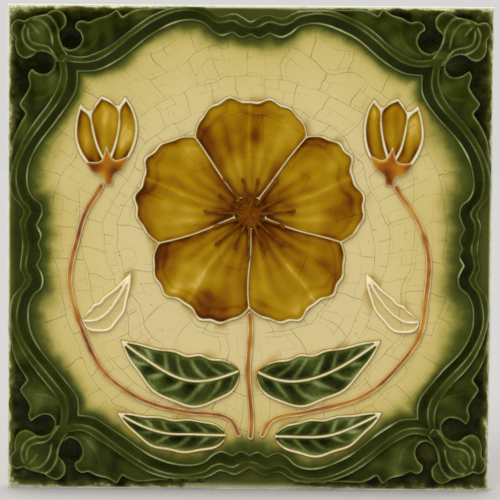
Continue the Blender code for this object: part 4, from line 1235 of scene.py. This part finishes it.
def leaf_pool_shape(places, width, loop, seed):
    """Half a leaf: dark glaze gathered between side veins that curve towards the tip."""
    midrib = np.array([place[0] for place in places])
    length = float(np.hypot(*np.diff(midrib, axis=0).T).sum())
    veins = max(5, round(length / 6.2))

    def shape(points):
        from_rib, way = nearest(points, lines=[midrib])
        share = way / length
        out = np.clip(from_rib / np.maximum(leaf_half_width(share, width) - OUTLINE_WIDTH, 0.5), 0, 1)
        from_edge = nearest(points, [loop])[0]
        phase = (share - 0.13 * out ** 1.4 + 0.012 * mottle(points, 7, seed)) * veins
        to_vein = abs(phase - np.round(phase)) * length / veins
        vein = ridge(to_vein, 1.15 - 0.45 * out) * (1 - 0.5 * out ** 3)
        height = RELIEF_BASE + 0.05 + 0.26 * rise(from_edge, 0, 2.2) + 0.12 * vein - 0.05 * out
        between = 1 - vein
        pool = 0.2 + 0.62 * between ** 1.5 * rise(from_edge, 0.1, 1.2) * (1 - 0.5 * out)
        pool += 0.16 * ridge(from_rib - MIDRIB_WIDTH / 2 - 0.5, 0.6) * between
        pool += 0.13 * mottle(points, 5, seed + 1) + 0.12 * ridge(from_edge - 0.2, 0.4)
        return height, {"pool": np.clip(pool, 0, 1)}

    return shape


def make_leaves():
    for across, hand in ((-1, "left"), (1, "right")):
        for number, (kind, places, width) in enumerate(leaf_plan(across)):
            holes = [leaf_pool(places, side) for side in (1, -1)]
            loops = [leaf_edge(places), *holes]
            name = f"leaf_{kind}_{hand}"
            if kind == "pale":
                shape = pale_leaf_shape(loops[0], holes)
                lay_spray(f"{name}_outline", loops[:1], shape, pale_leaf, "slip_line")
                continue
            shape = slip_shape(loops, 170 + number + across)
            lay_spray(f"{name}_outline", loops, shape, slip_line, "slip_line")
            for hole, side in zip(holes, (1, -1)):
                part = "above" if side == across else "below"
                shape = leaf_pool_shape(places, width, hole, 180 + 7 * number + 2 * side + across)
                lay_spray(f"{name}_{part}", [grown(hole, LIP)], shape, leaf_glaze, "leaf_glaze")


def pale_leaf_shape(edge, holes):
    """An outlined leaf left uncoloured: raised lines with the cream field's glaze lying between them."""

    def shape(points):
        in_pool = inside(points, [holes[0]]) | inside(points, [holes[1]])
        from_edge = nearest(points, [edge, *holes])[0]
        crest = half_round(from_edge, OUTLINE_WIDTH / 2)
        line_height = POOL_FACE + 0.2 + (SLIP_CREST - POOL_FACE - 0.22) * crest
        pool_height = POOL_FACE + 0.2 + 0.06 * ridge(from_edge, 0.8)
        height = np.where(in_pool, pool_height, line_height)
        return height, {"crest": np.where(in_pool, -0.5 - from_edge, crest)}

    return shape


# Materials


def srgb(red, green, blue):
    """A colour as seen on a screen, from 0 to 255, turned into the linear values that shaders take."""
    def linear(value):
        value /= 255
        return value / 12.92 if value <= 0.04045 else ((value + 0.055) / 1.055) ** 2.4
    return (linear(red), linear(green), linear(blue), 1.0)


class Value:
    """What a shader node gives out, so that sums of such values can be written as sums."""

    def __init__(self, shader, socket):
        self.shader, self.socket = shader, socket

    def __add__(self, other):
        return self.shader.math("ADD", self, other)

    def __sub__(self, other):
        return self.shader.math("SUBTRACT", self, other)

    def __rsub__(self, other):
        return self.shader.math("SUBTRACT", other, self)

    def __mul__(self, other):
        return self.shader.math("MULTIPLY", self, other)

    def __truediv__(self, other):
        return self.shader.math("DIVIDE", self, other)

    __radd__ = __add__
    __rmul__ = __mul__


class Shader:
    """A material's or the world's nodes."""

    def __init__(self, tree):
        self.tree = tree

    def get(self, kind, inputs=None, output=0, **settings):
        """A new node's output, with values or other nodes' outputs on the node's inputs."""
        made = self.tree.nodes.new(kind)
        for name, value in settings.items():
            setattr(made, name, value)
        for key, value in (inputs or {}).items():
            if isinstance(value, Value):
                self.tree.links.new(value.socket, made.inputs[key])
            else:
                made.inputs[key].default_value = value
        return Value(self, made.outputs[output])

    def send(self, value, node, socket):
        """A value linked to an input of a node that the tree came with."""
        self.tree.links.new(value.socket, self.tree.nodes[node].inputs[socket])

    def math(self, operation, *values, clamp=False):
        return self.get("ShaderNodeMath", dict(enumerate(values)), operation=operation, use_clamp=clamp)

    def vector(self, operation, inputs, output=0):
        return self.get("ShaderNodeVectorMath", inputs, output, operation=operation)

    def split(self, vector):
        made = self.get("ShaderNodeSeparateXYZ", {0: vector})
        return [Value(self, socket) for socket in made.socket.node.outputs]

    def joined(self, *values):
        return self.get("ShaderNodeCombineXYZ", dict(enumerate(values)))

    def step(self, value, low, high):
        """0 below low, 1 above high and smooth between; low may lie above high."""
        return self.get("ShaderNodeMapRange", {"Value": value, "From Min": low, "From Max": high},
                        interpolation_type="SMOOTHSTEP")

    def attribute(self, name):
        return self.get("ShaderNodeAttribute", output="Fac", attribute_name=name)

    def mixed(self, factor, one, two, blend="MIX"):
        return self.get("ShaderNodeMix", {0: factor, 6: one, 7: two}, 2, data_type="RGBA", blend_type=blend)

    def mixed_value(self, factor, one, two):
        return self.get("ShaderNodeMix", {0: factor, 2: one, 3: two}, data_type="FLOAT")

    def ramp(self, factor, stops):
        """A colour from a row of stops, each a place from 0 to 1 and a screen colour."""
        made = self.get("ShaderNodeValToRGB", {0: factor})
        elements = made.socket.node.color_ramp.elements
        while len(elements) < len(stops):
            elements.new(0.5)
        for element, (place, *colour) in zip(elements, stops):
            element.position = place
            element.color = srgb(*colour)
        return made

    def face_millimetres(self):
        """The place on the object in millimetres: across, up, and towards the back."""
        parts = self.split(self.get("ShaderNodeTexCoord", output="Object"))
        return self.joined(*(parts[k] * (1 / MM) for k in (0, 2, 1)))

    def noise(self, place, size, detail=2.0, roughness=0.5, output="Fac"):
        """Cloudy noise in patches about size millimetres wide."""
        return self.get("ShaderNodeTexNoise", {"Vector": place, "Scale": 1 / size, "Detail": detail,
                                               "Roughness": roughness}, output)

    def cloud(self, place, size, amount, detail=2.0, roughness=0.5):
        """Noise that pushes up and down by about half the amount."""
        return (self.noise(place, size, detail, roughness) - 0.5) * amount

    def shifted(self, place, size, amount):
        """The place pushed about by noise."""
        push = self.noise(place, size, 1.0, output="Color")
        centred = self.vector("SUBTRACT", {0: push, 1: (0.5, 0.5, 0.5)})
        return self.vector("ADD", {0: place, 1: self.vector("SCALE", {0: centred, "Scale": amount})})

    def web(self, angle, radius, spokes, ring, width, offset):
        """Lines of a cracked web about the tile's centre: 1 on a line, 0 away from it."""
        place = self.joined(angle * (spokes / (2 * math.pi)), radius / ring)
        return self.get("ShaderNodeTexBrick", {"Vector": place, "Scale": 1.0, "Mortar Size": width / ring,
                                               "Mortar Smooth": 0.6, "Brick Width": 1.0, "Row Height": 1.0},
                        "Fac", offset=offset)

    def crackle(self, place):
        """The glaze's network of cracks: arcs and spokes about the middle, which fade here and there."""
        warped = place
        for size, amount in ((34, 16), (11, 5), (2.5, 0.8)):
            warped = self.shifted(warped, size, amount)
        parts = self.split(warped)
        radius = self.vector("LENGTH", {0: warped}, "Value")
        angle = self.math("ARCTAN2", parts[1], parts[0])
        outer = self.step(radius, 41.0, 42.0)
        wide = self.mixed_value(outer, self.web(angle, radius, 17, 10.0, 0.11, 0.5),
                                self.web(angle, radius, 34, 9.0, 0.11, 0.5))
        fine = self.mixed_value(outer, self.web(angle, radius, 34, 5.2, 0.09, 0.37),
                                self.web(angle, radius, 63, 4.6, 0.09, 0.37))
        wide = wide * self.step(self.noise(place, 13), 0.28, 0.52)
        fine = fine * self.step(self.noise(place, 8, 1.0), 0.4, 0.62)
        return self.math("MAXIMUM", wide, fine * 0.6)

    def speckle(self, place):
        """Scattered pinholes and iron specks."""
        spots = self.get("ShaderNodeTexVoronoi", {"Vector": place, "Scale": 1 / 3.4}, "Distance",
                         voronoi_dimensions="2D")
        shade = Value(self, spots.socket.node.outputs["Color"])
        radius = self.step(self.get("ShaderNodeSeparateColor", {0: shade}), 0.8, 1.0)
        return self.step(spots - radius * 0.045, 0.02, 0.0) * (radius * 0.7)

    def bump(self, height):
        self.send(self.get("ShaderNodeBump", {"Height": height, "Distance": MM, "Strength": 1.0}),
                  "Principled BSDF", "Normal")


GLAZE_IOR = 1.17          # lower than real glaze, so that the dark pools stay clear of a grey veil
WAVE_DEPTH = 0.035        # of the fired surface, in millimetres
CRACK_DEPTH = -0.02

# Colours from the thinnest glaze, or a line's foot, to the thickest glaze, or a line's crest
GREEN_STOPS = [(0.0, 152, 158, 106), (0.1, 120, 128, 76), (0.2, 95, 103, 52), (0.35, 75, 84, 30),
               (0.5, 60, 69, 17), (0.65, 47, 54, 9), (0.8, 33, 38, 4), (1.0, 13, 17, 1)]
LINE_STOPS = [(0.0, 206, 212, 162), (0.2, 160, 170, 112), (0.45, 108, 118, 64), (0.7, 76, 86, 34),
              (1.0, 48, 55, 14)]
GROUND_STOPS = [(0.0, 206, 205, 168), (0.1, 160, 161, 110), (0.22, 106, 111, 58), (0.35, 78, 82, 31),
                (0.5, 60, 65, 18), (0.65, 46, 50, 11), (0.8, 32, 35, 6), (1.0, 14, 16, 2)]
BLEED_STOPS = [(0.0, 56, 63, 16), (0.15, 68, 75, 23), (0.27, 84, 88, 30), (0.38, 112, 112, 43),
               (0.48, 136, 132, 55), (0.58, 158, 150, 72), (0.7, 180, 167, 88), (0.8, 190, 173, 93),
               (1.0, 199, 181, 106)]
CREAM_STOPS = [(0.0, 201, 184, 106), (0.3, 211, 193, 122), (0.65, 217, 200, 136), (1.0, 219, 202, 145)]
AMBER_STOPS = [(0.0, 208, 174, 76), (0.14, 184, 146, 24), (0.32, 170, 130, 5), (0.5, 156, 112, 1),
               (0.68, 138, 87, 0), (0.84, 114, 58, 0), (1.0, 82, 34, 1)]
LEAF_STOPS = [(0.0, 150, 160, 104), (0.15, 124, 136, 80), (0.35, 86, 98, 40), (0.55, 58, 67, 18),
              (0.8, 30, 36, 7), (1.0, 13, 16, 2)]
STEM_STOPS = [(0.0, 196, 148, 44), (0.35, 184, 122, 24), (0.65, 158, 90, 14), (1.0, 108, 54, 10)]
SLIP_STOPS = [(0.0, 150, 112, 34), (0.66, 172, 144, 60), (0.86, 216, 206, 156), (1.0, 236, 231, 198)]
PALE_STOPS = [(0.0, 196, 172, 104), (0.5, 214, 194, 134), (1.0, 250, 236, 200)]
CLAY_STOPS = [(0.3, 176, 152, 116), (0.5, 202, 180, 144), (0.7, 219, 201, 168)]
RIM_STOPS = [(0.0, 236, 234, 222), (0.18, 226, 223, 196), (0.36, 176, 174, 122), (0.55, 118, 120, 66),
             (0.85, 70, 74, 26)]


def glossy(name, colour_of, roughness=0.18):
    """A glaze: its colour and its cracks from a function, a wavy fired surface and a clear gloss."""
    material = bpy.data.materials.new(name)
    material.use_nodes = True
    shader = Shader(material.node_tree)
    place = shader.face_millimetres()
    colour, cracks = colour_of(shader, place)
    shader.send(colour, "Principled BSDF", "Base Color")
    waves = shader.cloud(place, 2.6, WAVE_DEPTH, 1.0) + shader.cloud(place, 0.55, WAVE_DEPTH / 4, 1.0)
    if cracks is not None:
        waves = waves + cracks * CRACK_DEPTH
    shader.bump(waves)
    inputs = material.node_tree.nodes["Principled BSDF"].inputs
    inputs["Roughness"].default_value = roughness
    inputs["IOR"].default_value = GLAZE_IOR
    return material


def green_colour(shader, place):
    thick = shader.attribute("glaze") + shader.cloud(place, 5, 0.22, 3.0)
    green = shader.ramp(thick + shader.cloud(place, 0.8, 0.3, 3.0, 0.7), GREEN_STOPS)
    brownish = shader.step(shader.noise(place, 9, 2.0), 0.5, 0.7) * 0.5
    return shader.mixed(brownish, green, shader.mixed(1.0, green, srgb(255, 240, 170), "MULTIPLY")), None


def line_colour(shader, place):
    return shader.ramp(shader.attribute("glaze") + shader.cloud(place, 2.2, 0.25), LINE_STOPS), None


def ground_colour(shader, place):
    grain = shader.attribute("grain")
    thick = shader.attribute("glaze") + shader.cloud(place, 0.8, 0.62, 4.0, 0.75) * grain
    rusty = shader.step(shader.noise(place, 4.0, 3.0), 0.44, 0.64) * shader.step(thick, 0.85, 0.3) * grain
    return shader.mixed(rusty * 0.6, shader.ramp(thick, GROUND_STOPS), srgb(84, 70, 30)), None


def cream_colour(shader, place):
    """Cream that the frame's green runs into, stained amber beside the spray, cracked and specked."""
    distance = shader.attribute("line_distance")
    streaks = shader.cloud(shader.joined(shader.attribute("line_way"), distance * 0.22), 2.2, 0.18, 3.0)
    share = distance / shader.attribute("bleed_reach") + (streaks + shader.cloud(place, 4.5, 0.6, 3.0))
    cream = shader.ramp((distance + shader.cloud(place, 12, 9.0)) / 30.0, CREAM_STOPS)
    colour = shader.mixed(shader.step(share, 0.95, 1.8), shader.ramp(share / 1.3, BLEED_STOPS), cream)
    colour = shader.mixed(shader.attribute("stain") * 0.75, colour, srgb(176, 140, 40))
    cracks = shader.crackle(place) * shader.step(share, 0.1, 0.7)
    colour = shader.mixed(cracks * 0.7, colour, srgb(120, 101, 54))
    return shader.mixed(shader.speckle(place), colour, srgb(70, 58, 30)), cracks


def amber_colour(shader, place):
    cracks = shader.crackle(place)
    thick = shader.attribute("pool") + shader.cloud(place, 3.5, 0.24, 3.0) + cracks * 0.2
    return shader.ramp(thick, AMBER_STOPS), cracks


def brown_colour(shader, place):
    return shader.ramp(0.82 + shader.cloud(place, 1.6, 0.6, 3.0), AMBER_STOPS), None


def leaf_colour(shader, place):
    return shader.ramp(shader.attribute("pool") + shader.cloud(place, 1.2, 0.34, 3.0, 0.6), LEAF_STOPS), None


def stem_colour(shader, place):
    core = shader.ramp(shader.attribute("pool") + shader.cloud(place, 1.8, 0.35, 3.0), STEM_STOPS)
    return shader.mixed(shader.attribute("slip"), core, srgb(232, 216, 168)), None


def slip_colour(shader, place):
    pale = shader.ramp(shader.attribute("crest") + shader.cloud(place, 0.9, 0.2), SLIP_STOPS)
    stain = shader.math("ADD", shader.attribute("stain"), shader.cloud(place, 3.0, 0.5, 3.0), clamp=True)
    return shader.mixed(stain * 0.42, pale, srgb(196, 162, 74)), None


def pale_leaf_colour(shader, place):
    crest = shader.attribute("crest")
    field = shader.mixed(shader.crackle(place) * 0.5, srgb(208, 189, 124), srgb(128, 108, 62))
    return shader.mixed(shader.step(crest, -0.2, 0.05), field, shader.ramp(crest, PALE_STOPS)), None


def clay(name):
    """Buff pressed earthenware, with cream glaze that ran over the face's rim and a little beyond."""
    material = bpy.data.materials.new(name)
    material.use_nodes = True
    shader = Shader(material.node_tree)
    place = shader.face_millimetres()
    across, up, backwards = shader.split(place)
    depth = backwards * -1.0
    grain = shader.noise(place, 0.7, 4.0, 0.65)
    body = shader.ramp(shader.noise(place, 11, 3.0) * 0.6 + grain * 0.4, CLAY_STOPS)
    soot = shader.step(shader.noise(place, 19, 4.0, 0.6), 0.55, 0.75)
    body = shader.mixed(soot * 0.4, body, srgb(122, 104, 82))
    wet = shader.step(depth + shader.noise(place, 6.5, 3.0) * 5.0, BODY_FACE + 1.2, BODY_FACE + 1.7)
    furthest = shader.math("MAXIMUM", shader.math("ABSOLUTE", across), shader.math("ABSOLUTE", up))
    from_edge = half_side - furthest + shader.cloud(place, 2.4, 1.3, 3.0)
    glaze = shader.mixed(shader.step(shader.noise(place, 4, 2.0), 0.4, 0.65), srgb(236, 234, 216),
                         srgb(206, 200, 158))
    in_front = shader.step(depth, BODY_FACE - 0.9, BODY_FACE - 0.2)
    glaze = shader.mixed(in_front, glaze, shader.ramp(from_edge / 2.4, RIM_STOPS))
    shader.send(shader.mixed(wet, body, glaze), "Principled BSDF", "Base Color")
    shader.send(shader.get("ShaderNodeMapRange", {"Value": wet, "To Min": 0.88, "To Max": 0.2}),
                "Principled BSDF", "Roughness")
    shader.bump((grain - 0.5) * 0.12 + shader.cloud(place, 0.25, 0.05))
    return material


green_glaze = glossy("green_glaze", green_colour)
line_glaze = glossy("thin_green_glaze", line_colour)
ground_glaze = glossy("dark_green_glaze", ground_colour)
cream_glaze = glossy("cream_glaze", cream_colour)
amber_glaze = glossy("amber_glaze", amber_colour)
brown_glaze = glossy("brown_glaze", brown_colour)
leaf_glaze = glossy("leaf_glaze", leaf_colour)
stem_glaze = glossy("stem_glaze", stem_colour)
slip_line = glossy("slip_line", slip_colour, roughness=0.22)
pale_leaf = glossy("pale_leaf", pale_leaf_colour, roughness=0.2)
biscuit = clay("biscuit")


# The pressed slab


def applied(piece, kind, name, **settings):
    """A modifier added to the piece and applied."""
    modifier = piece.modifiers.new(name, kind)
    for key, value in settings.items():
        setattr(modifier, key, value)
    bpy.context.view_layer.objects.active = piece
    bpy.ops.object.modifier_apply(modifier=name)


def cube(name, size, centre):
    """A box at its size and place, its scale applied."""
    bpy.ops.mesh.primitive_cube_add(size=1, location=[c * MM for c in centre])
    piece = bpy.context.object
    piece.name = name
    piece.scale = [s * MM for s in size]
    bpy.ops.object.transform_apply(location=True, rotation=True, scale=True)
    return piece


def make_body():
    """The slab with worn edges, and soft-edged grooves across its back round a bare oval panel."""
    body = cube("pressed_body", (TILE_SIDE, BODY_FACE, TILE_SIDE), (0, -BODY_FACE / 2, 0))
    bpy.ops.mesh.primitive_cylinder_add(vertices=96, radius=0.5, depth=1, rotation=(math.radians(90), 0, 0))
    panel = bpy.context.object
    panel.scale = (PANEL_WIDTH * MM, PANEL_HEIGHT * MM, 4 * GROOVE_DEPTH * MM)
    bpy.ops.object.transform_apply(location=True, rotation=True, scale=True)
    pitch = GROOVE_WIDTH + RIB_WIDTH
    for row in range(GROOVE_COUNT):
        height = (row - (GROOVE_COUNT - 1) / 2) * pitch
        size = (TILE_SIDE - 2 * GROOVE_END, 2 * GROOVE_DEPTH, GROOVE_WIDTH)
        groove = cube("groove", size, (0, 0, height))
        if abs(height) < (PANEL_HEIGHT + GROOVE_WIDTH) / 2:
            applied(groove, "BOOLEAN", "bare panel", operation="DIFFERENCE", object=panel)
        applied(body, "BOOLEAN", "groove", operation="DIFFERENCE", object=groove)
        bpy.data.objects.remove(groove)
    bpy.data.objects.remove(panel)
    applied(body, "BEVEL", "worn edges", width=0.45 * MM, segments=3, limit_method="ANGLE",
            angle_limit=math.radians(40), harden_normals=False)
    bpy.context.view_layer.objects.active = body
    body.data.shade_smooth()
    body.data.set_sharp_from_angle(angle=math.radians(38))
    finished(body, biscuit, "biscuit", "biscuit_body")


# Beads on the seed disc: how many in each ring, and how far out in shares of the disc
BEAD_RINGS = [(1, 0.0), (6, 0.34), (12, 0.66), (18, 0.95)]


def settled(place, height, size, turn):
    """The shape that was added last, brought to its size and place and turned in the plane of the face."""
    piece = bpy.context.object
    piece.scale = [s * MM for s in size]
    piece.rotation_euler = (0, turn, 0)
    piece.location = (place[0] * MM, -height * MM, place[1] * MM)
    bpy.ops.object.transform_apply(location=True, rotation=True, scale=True)
    return piece


def ball(place, height, size, turn=0.0, segments=16, rings=10):
    """A ball stretched to half sizes of its own in the three directions."""
    bpy.ops.mesh.primitive_uv_sphere_add(segments=segments, ring_count=rings, radius=1.0)
    return settled(place, height, size, -turn)


def filament(start, tip, height):
    """A thin rod between two places."""
    bpy.ops.mesh.primitive_cylinder_add(vertices=12, radius=1.0, depth=1.0)
    bpy.ops.object.mode_set(mode="EDIT")
    bpy.ops.mesh.select_all(action="SELECT")
    bpy.ops.mesh.subdivide(number_cuts=1)
    bpy.ops.object.mode_set(mode="OBJECT")
    middle = [(a + b) / 2 for a, b in zip(start, tip)]
    bearing = math.atan2(tip[1] - start[1], tip[0] - start[0])
    return settled(middle, height, (0.36, 0.3, math.dist(start, tip)), math.pi / 2 - bearing)


def make_stamens():
    """A beaded seed disc and thin filaments, each with a bean-shaped anther at its tip."""
    level = TRIM_BASE + 0.05
    disc = SEED_RADIUS * 0.72
    parts = [ball(bloom_point(0, 0), level - 0.35, (disc, 0.6, disc), 0, 48, 16)]
    for ring, (count, share) in enumerate(BEAD_RINGS):
        for k in range(count):
            place = bloom_point(disc * share, k * 360 / count + 11 * ring)
            parts.append(ball(place, level + 0.1 - 0.35 * share ** 2, (0.42, 0.3, 0.42), 0, 10, 6))
    draw = random.Random(8)
    pitch = 360 / STAMEN_COUNT
    for k in range(STAMEN_COUNT):
        turn = k * pitch + pitch / 2
        length = STAMEN_REACH * (1.0 if k % 2 else 0.8)
        start, tip = bloom_point(disc * 0.8, turn), bloom_point(length, turn + draw.uniform(-2, 2))
        bearing = math.atan2(tip[1] - start[1], tip[0] - start[0])
        parts.append(filament(start, tip, level - 0.25))
        parts.append(ball(tip, level - 0.12, (1.15, 0.42, 0.62), bearing + draw.uniform(-0.5, 0.5)))
    whole = bmesh.new()
    for part in parts:
        whole.from_mesh(part.data)
        bpy.data.objects.remove(part)
    data = bpy.data.meshes.new("stamens")
    whole.to_mesh(data)
    whole.free()
    data.shade_smooth()
    stamens = bpy.data.objects.new("stamens", data)
    bpy.context.scene.collection.objects.link(stamens)
    finished(stamens, brown_glaze, "brown_glaze", "bloom_stamens")


# The stage

# The photograph's frame in pixels: its size, the tile's width and where the middle of its face lies
PICTURE_PIXELS = 500
TILE_PIXELS = 484.6
FACE_MIDDLE = (249.5, 248.8)
CAMERA_DISTANCE = 680.0   # from the tile's face
CAMERA_ABOVE = 3.0        # degrees by which it looks down, which widens the tile upwards
LENS_SENSOR = 36.0
CLIP_RANGE = (0.01, 50)   # what the camera sees, in metres
FLOOR_SIZE = 12           # in metres
FLOOR_COLOUR = srgb(186, 185, 183)
BACKDROP = srgb(215, 214, 212)
ROOM_LIGHT = 0.97
FRONT_REFLECTION = 0.03   # how bright the room's front side is in the glazes

# The lamps: name, strength, spread in degrees and where the light comes from
LAMPS = [("soft_window", 1.35, 40.0, (-0.3, -0.62, 0.72)), ("skylight", 1.5, 10.0, (0.0, 0.05, 1.0))]


def make_camera():
    data = bpy.data.cameras.new("camera")
    camera = bpy.data.objects.new("camera", data)
    bpy.context.scene.collection.objects.link(camera)
    pixel = TILE_SIDE / TILE_PIXELS
    turn = Matrix.Rotation(math.radians(90 - CAMERA_ABOVE), 3, "X") @ Matrix.Rotation(PHOTO_TURN, 3, "Z")
    aside = (PICTURE_PIXELS / 2 - FACE_MIDDLE[0]) * pixel
    aloft = (FACE_MIDDLE[1] - PICTURE_PIXELS / 2) * pixel
    place = Vector((0, -BODY_FACE, 0)) + turn @ Vector((aside, aloft, CAMERA_DISTANCE))
    camera.location = place * MM
    camera.rotation_euler = turn.to_euler()
    data.sensor_width = LENS_SENSOR
    data.lens = LENS_SENSOR * CAMERA_DISTANCE / (PICTURE_PIXELS * pixel)
    data.clip_start, data.clip_end = CLIP_RANGE
    bpy.context.scene.camera = camera


def make_floor():
    """A wide, plain, pale floor. Above its far edge the camera sees the plain world."""
    bpy.ops.mesh.primitive_plane_add(size=FLOOR_SIZE, location=(0, 0, -half_side * MM))
    floor = bpy.context.object
    floor.name = "floor"
    material = bpy.data.materials.new("pale_floor")
    material.use_nodes = True
    inputs = material.node_tree.nodes["Principled BSDF"].inputs
    inputs["Base Color"].default_value = FLOOR_COLOUR
    inputs["Roughness"].default_value = 0.7
    inputs["Specular IOR Level"].default_value = 0.2
    floor.data.materials.append(material)


def make_sun(name, strength, spread, source):
    """Soft daylight from one side, which the glaze doesn't mirror as a disc."""
    data = bpy.data.lights.new(name, "SUN")
    data.energy = strength
    data.angle = math.radians(spread)
    lamp = bpy.data.objects.new(name, data)
    lamp.rotation_euler = Vector(source).to_track_quat("Z", "Y").to_euler()
    lamp.visible_glossy = False
    bpy.context.scene.collection.objects.link(lamp)


def make_world():
    """A pale room, plain where the camera sees it. Only its front is dim in what the glazes reflect."""
    world = bpy.data.worlds.new("pale_room")
    bpy.context.scene.world = world
    world.use_nodes = True
    world.cycles.sampling_method = "NONE"
    shader = Shader(world.node_tree)
    camera, glossy_ray, through = (shader.get("ShaderNodeLightPath", output=f"Is {kind} Ray")
                                   for kind in ("Camera", "Glossy", "Transmission"))
    direction = shader.split(shader.get("ShaderNodeTexCoord", output="Generated"))
    overhead = shader.step(direction[2], 0.35, 0.85)
    dim = shader.step(direction[1], 0.1, -0.65) * (1.0 - overhead * 0.6)
    reflected = 1.0 - dim * (1 - FRONT_REFLECTION)
    seen = shader.math("ADD", camera, through, clamp=True)
    other = 1.0 - shader.math("ADD", seen, glossy_ray, clamp=True)
    shader.send(other * ROOM_LIGHT + glossy_ray * reflected + seen, "Background", "Strength")
    world.node_tree.nodes["Background"].inputs["Color"].default_value = BACKDROP


make_camera()
make_frame()
make_corners()
make_grounds()
make_field()
make_bloom()
make_buds()
make_stems()
make_leaves()
make_body()
make_stamens()
make_floor()
for lamp in LAMPS:
    make_sun(*lamp)
make_world()
bpy.context.scene.view_settings.view_transform = "Standard"
